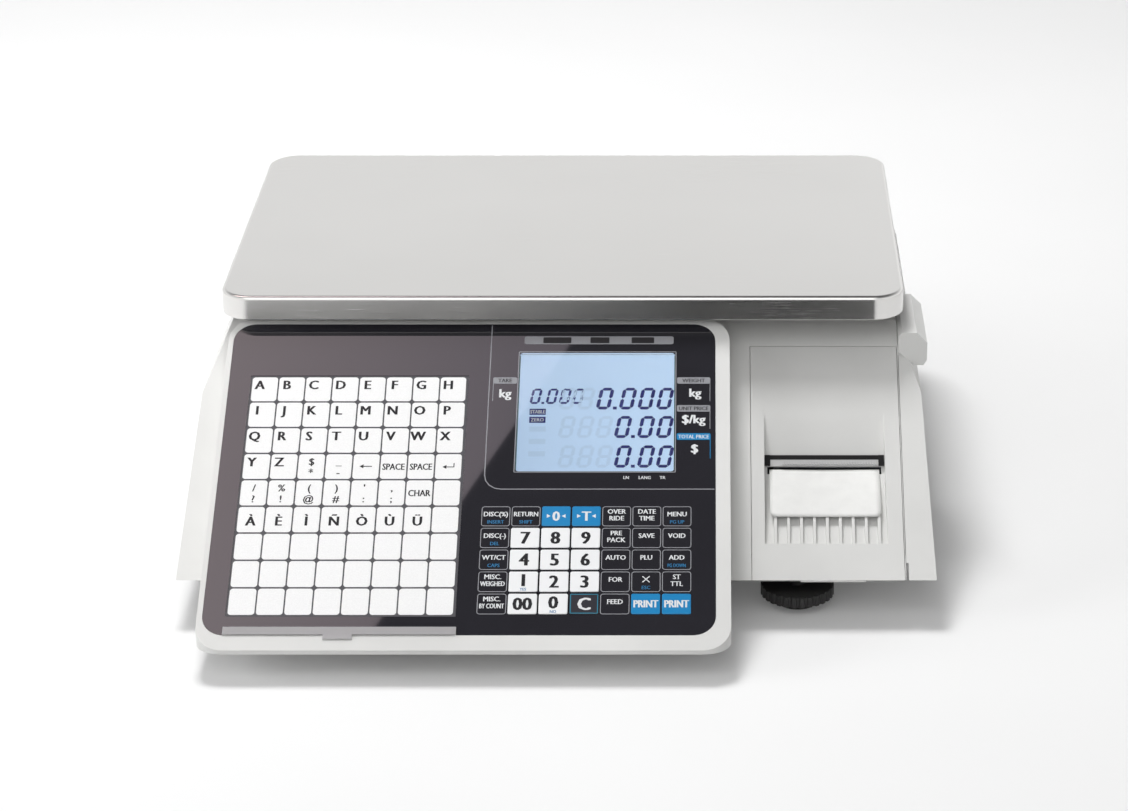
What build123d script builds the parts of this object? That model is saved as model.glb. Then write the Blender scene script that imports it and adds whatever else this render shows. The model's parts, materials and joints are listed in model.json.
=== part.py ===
from build123d import *
from math import acos, cos, degrees, radians, sin, sqrt, tan
import os

# Retail price scale with a label printer, built as the pieces it comes apart into.
# Millimetres. The origin is on the table under the middle of the scale:
# X to the operator's right, Y away from the operator, Z up.

# ---------------------------------------------------------------- driving dimensions
WALL = 2.5  # moulded wall of the casings
GAP = 0.3  # seam between two casings or covers
RUN = 0.05  # radial clearance of a shaft in its bearing
FIT = 0.1  # clearance of a piece that drops into a recess

# upper housing
BODY_WIDTH = 408.0  # across the bottom edge
BODY_DRAFT = 4.0  # each side leans in by this much below the shoulder
SHOULDER_Z = 92.0
SHOULDER_IN = 17.0  # the deck's edge stands in from the bottom edge by this much
SHOULDER_RADIUS = 38.0
BODY_BOTTOM = 25.0
BODY_FRONT = -151.0
BODY_REAR = 217.4
REAR_CORNER = 14.0
DECK_Z = 119.5
FACE_SLOPE = 33.9  # the housing's front face, in degrees from level

# weighing platter
PLATTER_WIDTH = 382.0
PLATTER_DEPTH = 246.0
PLATTER_TOP = 142.0
PLATTER_RIM = 14.0
PLATTER_SHEET = 1.2
PLATTER_CORNER = 18.0
PLATTER_Y = 90.0  # centre of the platter and of the load cell
PAD_HEIGHT = 6.8
PAD_RADIUS = 8.0
SPIDER_THICKNESS = 12.0
SPIDER_REACH_X = 150.0
SPIDER_REACH_Y = 85.0
SPIDER_ARM = 22.0
RISER_HOLE = 38.0, 34.0  # opening in the deck for the spider's riser
VIAL_X = -170.0
VIAL_RADIUS = 8.0
VIAL_SEAT = 11.0

# load cell
CELL_LENGTH = 130.0
CELL_WIDTH = 30.0
CELL_HEIGHT = 22.0
CELL_BOTTOM = 45.0
CELL_GRIP = 30.0  # length of each clamped end
CELL_SCREW_PITCH = 16.0
CELL_SCREW = 3.0  # radius
STOP_TRAVEL = 0.5  # gap between the live end and its overload stop

# console: the sloping keyboard and display panel
PANEL_WIDTH = 268.0
PANEL_LENGTH = 207.0
PANEL_SLOPE = 29.5
PANEL_LEFT = -182.6
PANEL_TOP_Y = -29.0
PANEL_TOP_Z = 124.0
PANEL_CORNER = 12.0
BEZEL_LEFT = 3.0
BEZEL_RIGHT = 8.0
BEZEL_TOP = 4.0
BEZEL_BOTTOM = 9.5
BEZEL_CORNER = 15.0
BEZEL_EDGE = 2.0
NOSE_BLOCK = 9.0  # solid front lip of the console
CONSOLE_LIP_Z = 15.0
CONSOLE_LEDGE = 6.0  # width of the housing that the console's walls stand on
OVERLAY = 0.6
BOARD_DEPTH = 7.0  # panel surface to the key board's top
BOARD_THICKNESS = 1.6

# keys on the panel, from its top left corner: u to the right, w down the slope
KEY_U, KEY_W = 143.0, 125.0
KEY_PITCH_U, KEY_PITCH_W = 16.13, 14.05
KEY_WIDTH, KEY_LENGTH = 15.2, 12.8
KEY_THICKNESS = 1.4
KEY_PROUD = 0.3
KEY_TRAVEL = 0.4
KEY_STEM = 2.5
KEYS = {
    "key_zero": (2, 0),
    "key_tare": (3, 0),
    "key_7": (1, 1),
    "key_8": (2, 1),
    "key_9": (3, 1),
    "key_4": (1, 2),
    "key_5": (2, 2),
    "key_6": (3, 2),
    "key_1": (1, 3),
    "key_2": (2, 3),
    "key_3": (3, 3),
    "key_00": (1, 4),
    "key_0": (2, 4),
    "key_clear": (3, 4),
    "key_print_left": (5, 4),
    "key_print_right": (6, 4),
}
PRESET_U, PRESET_W = 11.9, 36.4
PRESET_WIDTH, PRESET_LENGTH = 120.1, 159.0
PRESET_SHEET = 0.35
COVER_U, COVER_W = 11.3, 202.3
COVER_WIDTH = 121.5
COVER_THICKNESS = 0.8
TAB_U, TAB_WIDTH, TAB_REACH = 63.7, 15.2, 2.7
DISPLAY_U, DISPLAY_W = 159.7, 20.3
DISPLAY_WIDTH, DISPLAY_LENGTH = 86.0, 81.3
DISPLAY_GLASS = 1.6

# base tray and feet
TRAY_BOTTOM = 15.0
TRAY_WIDTH = BODY_WIDTH - 28.0
TRAY_FRONT = -132.0
TRAY_REAR = 209.0
TRAY_WALL_TOP = 28.5
FOOT_X = 130.0
FOOT_FRONT_Y = -125.0
FOOT_REAR_Y = 170.0
WHEEL_RADIUS = 20.0
WHEEL_THICKNESS = 6.0
WHEEL_NOTCHES = 28
FOOT_PAD_RADIUS = 12.0
FOOT_PAD_HEIGHT = 5.0
STUD_RADIUS = 4.0
STUD_TOP = 26.0
FOOT_TRAVEL = 4.5
FOOT_BOSS_TOP = 32.0

# label printer
PRINTER_LEFT, PRINTER_WIDTH = 105.0, 82.0
PRINTER_TOP_Y = -25.7
PRINTER_SKIN = 4.3
LIP = 5.0  # the printer front's edge tucks this far under the housing
RECESS_LEFT, RECESS_RIGHT = 112.2, 178.6
RECESS_START, RECESS_END = 44.0, 128.0
SLOT_START, SLOT_END = 67.0, 79.0
RECESS_DEPTH = 9.0
RIB_COUNT = 9
RIB_PITCH = 7.03
RIB_FIRST = 118.0
RIB_WIDTH = 1.6
FRAME_LEFT = 113.0
FRAME_PLATE = 2.5
EAR_LEFT = 181.0
PLATEN_Y, PLATEN_Z = -66.0, 47.0
PLATEN_RADIUS = 7.0
SHAFT_RADIUS = 3.0
HEAD_Y, HEAD_Z = -36.0, 66.0
PIVOT_RADIUS = 2.5
LEVER_Y, LEVER_Z = -48.0, 72.0
ROLL_Y, ROLL_Z = 15.0, 75.0
ROLL_RADIUS = 40.0
HUB_RADIUS = 12.5
SPOOL_Y, SPOOL_Z = -36.0, 38.0
SPOOL_RADIUS = 13.0
SPOOL_HUB = 6.0
WEB_LEFT, WEB_WIDTH = 116.0, 60.0
GEAR_LEFT, GEAR_WIDTH = 107.0, 5.0
GEAR_MODULE = 1.0
PLATEN_TEETH, IDLER_TEETH, PINION_TEETH = 24, 20, 12
IDLER_ANGLE, PINION_ANGLE = -20.0, -10.0
MOTOR_RADIUS, MOTOR_LENGTH = 17.5, 22.0
LABEL_WIDTH, LABEL_THICKNESS = 60.5, 0.3

# side door over the label roll
DOOR_LEFT = BODY_WIDTH / 2 - 16.0
DOOR_HEEL = 1.2  # cut from the lower inner edge, which swings inwards
DOOR_HEEL_HEIGHT = 6.0
DOOR_REAR = 62.0
HINGE_X, HINGE_Z = BODY_WIDTH / 2 - 7.5, 28.2
HINGE_PIN = 2.0
HINGE_LUG = 3.2
HINGE_WIDTH = 6.0
HINGE_YS = (-105.0, 35.0)
GRIP_FRONT, GRIP_REAR = -33.0, 27.0
GRIP_BOTTOM, GRIP_TOP = 101.0, 120.5
LATCH_X, LATCH_Z = BODY_WIDTH / 2 - 11.5, 104.0

# rear wall
CUSTOMER_WIDTH, CUSTOMER_HEIGHT = 176.0, 56.0
CUSTOMER_Z = 82.0
INLET_X, INLET_Z = -152.0, 44.0
INLET_WIDTH, INLET_HEIGHT, INLET_DEPTH = 47.0, 27.0, 22.0
PORT_Z = 28.0  # underside of the main board

# ---------------------------------------------------------------- derived places
body_rise = DECK_Z - BODY_BOTTOM
deck_front = BODY_FRONT + body_rise / tan(radians(FACE_SLOPE))
face_top_z = BODY_BOTTOM + (PRINTER_TOP_Y - BODY_FRONT) * tan(radians(FACE_SLOPE))
face_length = (PRINTER_TOP_Y - BODY_FRONT) / cos(radians(FACE_SLOPE))
tray_floor = TRAY_BOTTOM + WALL
cell_top = CELL_BOTTOM + CELL_HEIGHT
live_x = (CELL_LENGTH - CELL_GRIP) / 2
fixed_x = -live_x
pad_top = PLATTER_TOP - PLATTER_SHEET
spider_top = pad_top - PAD_HEIGHT
spider_bottom = spider_top - SPIDER_THICKNESS
plate_depth = OVERLAY + WALL  # panel surface to the underside of the console's top plate
wheel_bottom = FOOT_PAD_HEIGHT
feet = {
    "front_left": (-FOOT_X, FOOT_FRONT_Y),
    "front_right": (FOOT_X, FOOT_FRONT_Y),
    "rear_left": (-FOOT_X, FOOT_REAR_Y),
    "rear_right": (FOOT_X, FOOT_REAR_Y),
}
housing_bosses = [(-176, 0), (-176, 190), (172, 190), (95, 25)]
console_bosses = [(PANEL_LEFT + 8, -150), (PANEL_LEFT + PANEL_WIDTH - 3, -150)]

panel = Plane(
    origin=(PANEL_LEFT, PANEL_TOP_Y, PANEL_TOP_Z),
    x_dir=(1, 0, 0),
    z_dir=(0, -sin(radians(PANEL_SLOPE)), cos(radians(PANEL_SLOPE))),
)


def panel_rect(u, w, width, length, radius=0.0, grow=0.0):
    """A rectangle on the panel, from its top left corner, grown by a clearance all round."""
    with Locations((u + width / 2, -w - length / 2)):
        if radius:
            return RectangleRounded(width + 2 * grow, length + 2 * grow, radius + grow)
        return Rectangle(width + 2 * grow, length + 2 * grow)


def key_corner(column, row):
    """Top left corner of a key of the function pad."""
    return KEY_U + column * KEY_PITCH_U, KEY_W + row * KEY_PITCH_W


def face_point(w, depth=0.0):
    """(Y, Z) of a point w down the printer's face from its top line, and depth below it."""
    slope = radians(FACE_SLOPE)
    y = PRINTER_TOP_Y - w * cos(slope) + depth * sin(slope)
    return y, face_top_z - w * sin(slope) - depth * cos(slope)


def body_block(inset=0.0):
    """The housing's outer form, or the same form pulled in by a wall, open below."""
    low = BODY_BOTTOM - 30
    run_out = (BODY_BOTTOM - low) / tan(radians(FACE_SLOPE))
    half = BODY_WIDTH / 2
    lean = BODY_DRAFT / (SHOULDER_Z - BODY_BOTTOM)
    half_low = half + lean * (BODY_BOTTOM - low)
    with BuildPart() as block:
        with BuildSketch(Plane.YZ):
            with BuildLine():
                Polyline(
                    (BODY_FRONT - run_out, low),
                    (deck_front, DECK_Z),
                    (BODY_REAR, DECK_Z),
                    (BODY_REAR, low),
                    close=True,
                )
            make_face()
            if inset:
                offset(amount=-inset, kind=Kind.INTERSECTION)
        extrude(amount=BODY_WIDTH, both=True)
        with BuildSketch(Plane.XZ):
            with BuildLine():
                Polyline(
                    (-half_low, low),
                    (-half + BODY_DRAFT, SHOULDER_Z),
                    (-half + SHOULDER_IN, DECK_Z),
                    (half - SHOULDER_IN, DECK_Z),
                    (half - BODY_DRAFT, SHOULDER_Z),
                    (half_low, low),
                    close=True,
                )
            outline = make_face()
            shoulders = [v for v in outline.vertices() if abs(v.Z - SHOULDER_Z) < 1]
            fillet(shoulders, SHOULDER_RADIUS)
            if inset:
                offset(amount=-inset, kind=Kind.INTERSECTION)
        extrude(amount=2 * BODY_REAR, both=True, mode=Mode.INTERSECT)
        rear = block.edges().filter_by(lambda e: e.center().Y > BODY_REAR - inset - 1)
        corners = rear.filter_by(lambda e: abs(e.center().X) > BODY_WIDTH / 2 - inset - 6)
        upright = corners.filter_by(lambda e: e.bounding_box().size.Z > DECK_Z / 3)
        fillet(upright, REAR_CORNER - inset)
    return block.part


def keep(node, name):
    """Label a finished piece and write it."""
    node.part.label = name
    export_step(node.part, "parts/" + name + ".step")


os.makedirs("parts", exist_ok=True)
outer_form = body_block()
inner_form = body_block(WALL)

# the console stands on the housing's sloping face, and hangs down to its lip in front
with BuildPart() as under_console:
    with BuildSketch(Plane.YZ):
        with BuildLine():
            Polyline(
                (-400, CONSOLE_LIP_Z),
                (BODY_FRONT, CONSOLE_LIP_Z),
                (BODY_FRONT, BODY_BOTTOM),
                (deck_front, DECK_Z),
                (400, DECK_Z),
                (400, -BODY_WIDTH),
                (-400, -BODY_WIDTH),
                close=True,
            )
        make_face()
    extrude(amount=BODY_WIDTH, both=True)

# ---------------------------------------------------------------- casings
with BuildPart() as console_bezel:
    with BuildSketch(panel):
        panel_rect(
            -BEZEL_LEFT,
            -BEZEL_TOP,
            PANEL_WIDTH + BEZEL_LEFT + BEZEL_RIGHT,
            PANEL_LENGTH + BEZEL_TOP + BEZEL_BOTTOM,
            BEZEL_CORNER,
        )
    extrude(amount=DECK_Z, dir=(0, 0, -1))
    top_face = console_bezel.faces().filter_by(panel).sort_by(SortBy.AREA)[-1]
    fillet(top_face.edges(), BEZEL_EDGE)
    with BuildSketch(panel.offset(-plate_depth)):
        panel_rect(
            WALL - BEZEL_LEFT,
            WALL - BEZEL_TOP,
            PANEL_WIDTH + BEZEL_LEFT + BEZEL_RIGHT - 2 * WALL,
            PANEL_LENGTH + BEZEL_TOP + BEZEL_BOTTOM - WALL - NOSE_BLOCK,
            BEZEL_CORNER - WALL,
        )
    extrude(amount=DECK_Z, dir=(0, 0, -1), mode=Mode.SUBTRACT)
    with Locations(*[(x, y, 0) for x, y in console_bosses]):
        Cylinder(4.5, PANEL_TOP_Z, align=(Align.CENTER, Align.CENTER, Align.MIN))
    with BuildSketch(panel):
        panel_rect(-50, -50, PANEL_WIDTH + 100, PANEL_LENGTH + 100)
    extrude(amount=PANEL_TOP_Z, mode=Mode.SUBTRACT)
    add(under_console.part, mode=Mode.SUBTRACT)
    with Locations(*[(x, y, tray_floor) for x, y in console_bosses]):
        Cylinder(6, tray_floor, align=(Align.CENTER, Align.CENTER, Align.MAX), mode=Mode.SUBTRACT)
        Cylinder(2, 14, align=(Align.CENTER, Align.CENTER, Align.MIN), mode=Mode.SUBTRACT)
    # posts that carry the key board
    with BuildSketch(panel.offset(-plate_depth)):
        with Locations((22, -14), (137, -14), (246, -112), (22, -186), (137, -186), (137, -100)):
            Circle(2.5)
    extrude(amount=-(BOARD_DEPTH - plate_depth))
    # recess for the overlay, and the openings through the top plate
    with BuildSketch(panel):
        panel_rect(0, 0, PANEL_WIDTH, PANEL_LENGTH, PANEL_CORNER, FIT)
    extrude(amount=-OVERLAY, mode=Mode.SUBTRACT)
    with BuildSketch(panel):
        panel_rect(DISPLAY_U, DISPLAY_W, DISPLAY_WIDTH, DISPLAY_LENGTH, 0, 0.6)
        for column, row in KEYS.values():
            panel_rect(*key_corner(column, row), KEY_WIDTH, KEY_LENGTH, 0, 0.8)
    extrude(amount=-plate_depth, mode=Mode.SUBTRACT)
keep(console_bezel, "console_bezel")

with BuildPart() as door_region:
    with Locations((DOOR_LEFT, DOOR_REAR, BODY_BOTTOM)):
        Box(60, 300, 120, align=(Align.MIN, Align.MAX, Align.MIN))

with BuildPart() as upper_housing:
    add(outer_form)
    add(inner_form, mode=Mode.SUBTRACT)
    split(bisect_by=Plane.XY.offset(BODY_BOTTOM), keep=Keep.TOP)
    # the bosses hang from the deck to the tray's floor
    with Locations(*[(x, y, tray_floor) for x, y in housing_bosses]):
        Cylinder(5, DECK_Z - WALL / 2 - tray_floor, align=(Align.CENTER, Align.CENTER, Align.MIN))
        Cylinder(2, 14, align=(Align.CENTER, Align.CENTER, Align.MIN), mode=Mode.SUBTRACT)
    # opening under the console, which leaves a ledge for its walls
    with BuildSketch(panel):
        panel_rect(
            CONSOLE_LEDGE - BEZEL_LEFT,
            CONSOLE_LEDGE - BEZEL_TOP,
            PANEL_WIDTH + BEZEL_LEFT + BEZEL_RIGHT - 2 * CONSOLE_LEDGE,
            PANEL_LENGTH + 60,
            BEZEL_CORNER - CONSOLE_LEDGE,
        )
    extrude(amount=DECK_Z, dir=(0, 0, -1), mode=Mode.SUBTRACT)
    # opening for the printer front
    with BuildSketch(Plane.YZ.offset(PRINTER_LEFT - GAP)):
        with BuildLine():
            Polyline(
                face_point(-GAP, -WALL),
                face_point(-GAP, 2 * WALL),
                face_point(face_length + 20, 2 * WALL),
                face_point(face_length + 20, -WALL),
                close=True,
            )
        make_face()
    extrude(amount=PRINTER_WIDTH + 2 * GAP, mode=Mode.SUBTRACT)
    # opening for the side door
    with Locations((DOOR_LEFT - GAP, DOOR_REAR + GAP, BODY_BOTTOM - 1)):
        Box(60, 300, 120, align=(Align.MIN, Align.MAX, Align.MIN), mode=Mode.SUBTRACT)
    # hole for the spider's riser
    with Locations((live_x, PLATTER_Y, DECK_Z)):
        Box(*RISER_HOLE, 4 * WALL, mode=Mode.SUBTRACT)
    # seat for the level vial
    with Locations((VIAL_X, PLATTER_Y, DECK_Z - WALL)):
        Cylinder(VIAL_SEAT, 5, align=(Align.CENTER, Align.CENTER, Align.MAX))
    with Locations((VIAL_X, PLATTER_Y, DECK_Z)):
        Cylinder(VIAL_RADIUS + FIT, 5.5, align=(Align.CENTER, Align.CENTER, Align.MAX), mode=Mode.SUBTRACT)
    # rear wall: customer window in a recess, power inlet and board ports
    with BuildSketch(Plane.XZ.offset(-BODY_REAR)):
        with Locations((0, CUSTOMER_Z)):
            RectangleRounded(CUSTOMER_WIDTH + 2 * FIT, CUSTOMER_HEIGHT + 2 * FIT, 3)
    extrude(amount=1.5, mode=Mode.SUBTRACT)
    with BuildSketch(Plane.XZ.offset(-BODY_REAR)):
        with Locations((0, CUSTOMER_Z)):
            Rectangle(CUSTOMER_WIDTH - 12, CUSTOMER_HEIGHT - 12)
        with Locations((INLET_X, INLET_Z)):
            Rectangle(INLET_WIDTH + 2 * FIT, INLET_HEIGHT + 2 * FIT)
        with Locations((20, PORT_Z + BOARD_THICKNESS + 7), (60, PORT_Z + BOARD_THICKNESS + 7)):
            Rectangle(17, 14.6)
        with Locations((100, PORT_Z + BOARD_THICKNESS + 6.5)):
            Rectangle(31.6, 13.6)
    extrude(amount=2 * WALL, mode=Mode.SUBTRACT)
    # air slots in the left side wall
    with Locations((-BODY_WIDTH / 2, 60, 62)):
        with GridLocations(0, 12, 1, 9):
            Box(20, 5, 26, mode=Mode.SUBTRACT)
keep(upper_housing, "upper_housing")

with BuildPart() as side_door:
    add(outer_form)
    add(inner_form, mode=Mode.SUBTRACT)
    split(bisect_by=Plane.XY.offset(BODY_BOTTOM), keep=Keep.TOP)
    add(door_region.part, mode=Mode.INTERSECT)
    # grip: a ledge that fills out the rounded shoulder
    with BuildSketch(Plane.XZ.offset(-GRIP_REAR)):
        with BuildLine():
            Polyline(
                (DOOR_LEFT, GRIP_BOTTOM + 8),
                (DOOR_LEFT, GRIP_TOP - 2),
                (DOOR_LEFT + 2, GRIP_TOP),
                (BODY_WIDTH / 2 - 6, GRIP_TOP),
                (BODY_WIDTH / 2, GRIP_TOP - 6),
                (BODY_WIDTH / 2, GRIP_BOTTOM + 3),
                (BODY_WIDTH / 2 - 2, GRIP_BOTTOM),
                (BODY_WIDTH / 2 - 7, GRIP_BOTTOM),
                close=True,
            )
        make_face()
    extrude(amount=GRIP_REAR - GRIP_FRONT)
    # heel clearance
    with Locations((DOOR_LEFT, DOOR_REAR, BODY_BOTTOM)):
        heel = (Align.MIN, Align.MAX, Align.MIN)
        Box(DOOR_HEEL, 300, DOOR_HEEL_HEIGHT, align=heel, mode=Mode.SUBTRACT)
    # pocket for the latch, open inwards and out under the ledge
    with Locations((LATCH_X + 0.5, -3, LATCH_Z)):
        Box(12, 17, 26, mode=Mode.SUBTRACT)
    with Locations((LATCH_X + 5, -3, GRIP_BOTTOM - 2.5)):
        Box(14, 17, 9, mode=Mode.SUBTRACT)
    # latch pivot pin across the pocket
    with BuildSketch(Plane.XZ.offset(-8)):
        with Locations((LATCH_X, LATCH_Z)):
            Circle(1.5)
    extrude(amount=22)
    # hinge lugs and their pin
    with BuildSketch(Plane.XZ):
        with BuildLine():
            Polyline(
                (HINGE_X, HINGE_Z - HINGE_LUG),
                (BODY_WIDTH / 2 - 1.5, HINGE_Z - HINGE_LUG),
                (BODY_WIDTH / 2 - 1.5, HINGE_Z + HINGE_LUG),
                (HINGE_X, HINGE_Z + HINGE_LUG),
                close=True,
            )
        make_face()
        with Locations((HINGE_X, HINGE_Z)):
            Circle(HINGE_LUG)
    lug_block = extrude(amount=HINGE_WIDTH / 2, both=True, mode=Mode.PRIVATE)
    with BuildSketch(Plane.XZ):
        with Locations((HINGE_X, HINGE_Z)):
            Circle(HINGE_PIN)
    pin_rod = extrude(amount=HINGE_WIDTH * 1.4, both=True, mode=Mode.PRIVATE)
    for hinge_y in HINGE_YS:
        with Locations((0, hinge_y, 0)):
            add(lug_block)
            add(pin_rod)
keep(side_door, "side_door")

with BuildPart() as door_latch:
    with BuildSketch(Plane.XZ.offset(-4)):
        with BuildLine():
            Polyline(
                (LATCH_X - 3, LATCH_Z - 5),
                (LATCH_X - 3, LATCH_Z + 3.5),
                (LATCH_X - 10, LATCH_Z + 3.5),
                (LATCH_X - 10, LATCH_Z + 12.4),
                (LATCH_X - 7.7, LATCH_Z + 10.5),
                (LATCH_X - 7.7, LATCH_Z + 7),
                (LATCH_X + 1, LATCH_Z + 7),
                (LATCH_X + 3, LATCH_Z),
                (LATCH_X + 8, LATCH_Z - 6.5),
                (LATCH_X + 5, LATCH_Z - 8.5),
                close=True,
            )
        make_face()
        with Locations((LATCH_X, LATCH_Z)):
            Circle(1.5 + RUN, mode=Mode.SUBTRACT)
    extrude(amount=14)
keep(door_latch, "door_latch")

with BuildPart() as printer_front:
    with BuildSketch(Plane.YZ.offset(PRINTER_LEFT)):
        with BuildLine():
            Polyline(
                face_point(0),
                face_point(face_length),
                face_point(face_length - PRINTER_SKIN / tan(radians(FACE_SLOPE)), PRINTER_SKIN),
                face_point(0, PRINTER_SKIN),
                close=True,
            )
        make_face()
    extrude(amount=PRINTER_WIDTH)
    # tucked edge under the housing at the left and the top
    with BuildSketch(Plane.YZ.offset(PRINTER_LEFT - LIP)):
        with BuildLine():
            Polyline(
                face_point(-LIP, WALL + GAP),
                face_point(face_length - 18, WALL + GAP),
                face_point(face_length - 18, PRINTER_SKIN),
                face_point(-LIP, PRINTER_SKIN),
                close=True,
            )
        make_face()
    extrude(amount=PRINTER_WIDTH + LIP)
    # tab at the bottom edge
    with BuildSketch(Plane.YZ.offset(131)):
        with BuildLine():
            Polyline(
                (BODY_FRONT + 0.6, BODY_BOTTOM),
                (BODY_FRONT + 3.5, BODY_BOTTOM),
                (BODY_FRONT + 3.5, BODY_BOTTOM - 1.4),
                (BODY_FRONT + 0.6, BODY_BOTTOM - 1.4),
                close=True,
            )
        make_face()
    extrude(amount=35)
    # pocket walls behind the recess
    with BuildSketch(Plane.YZ.offset(RECESS_LEFT - WALL)):
        with BuildLine():
            Polyline(
                face_point(RECESS_START - 1, 1),
                face_point(SLOT_START - 1, RECESS_DEPTH + WALL),
                face_point(SLOT_END + 1, RECESS_DEPTH + WALL),
                face_point(RECESS_END, PRINTER_SKIN + 0.6),
                face_point(RECESS_END + 3, 1),
                close=True,
            )
        make_face()
    extrude(amount=RECESS_RIGHT - RECESS_LEFT + 2 * WALL)
    with BuildSketch(Plane.YZ.offset(RECESS_LEFT)):
        with BuildLine():
            Polyline(
                face_point(RECESS_START, -0.1),
                face_point(SLOT_START, RECESS_DEPTH - 1),
                face_point(SLOT_START, RECESS_DEPTH),
                face_point(SLOT_END, RECESS_DEPTH),
                face_point(RECESS_END, WALL),
                face_point(RECESS_END, -0.1),
                close=True,
            )
        make_face()
    extrude(amount=RECESS_RIGHT - RECESS_LEFT, mode=Mode.SUBTRACT)
    # the slot that the labels leave by
    with BuildSketch(Plane.YZ.offset(RECESS_LEFT + 1.8)):
        with BuildLine():
            Polyline(
                face_point(SLOT_START + 0.5, RECESS_DEPTH - 1),
                face_point(SLOT_START + 0.5, RECESS_DEPTH + 4),
                face_point(SLOT_END - 0.5, RECESS_DEPTH + 4),
                face_point(SLOT_END - 0.5, RECESS_DEPTH - 1),
                close=True,
            )
        make_face()
    extrude(amount=RECESS_RIGHT - RECESS_LEFT - 3.6, mode=Mode.SUBTRACT)
    # ribs that the label slides over
    for rib in range(RIB_COUNT):
        with BuildSketch(Plane.YZ.offset(RIB_FIRST + rib * RIB_PITCH - RIB_WIDTH / 2)):
            with BuildLine():
                Polyline(
                    face_point(SLOT_END + 1, RECESS_DEPTH + 1),
                    face_point(SLOT_END + 3, RECESS_DEPTH - 0.6),
                    face_point(RECESS_END - 17, 1.8),
                    face_point(RECESS_END - 0.5, 0.8),
                    face_point(RECESS_END + 0.5, 3),
                    close=True,
                )
            make_face()
        extrude(amount=RIB_WIDTH)
keep(printer_front, "printer_front")

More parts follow.
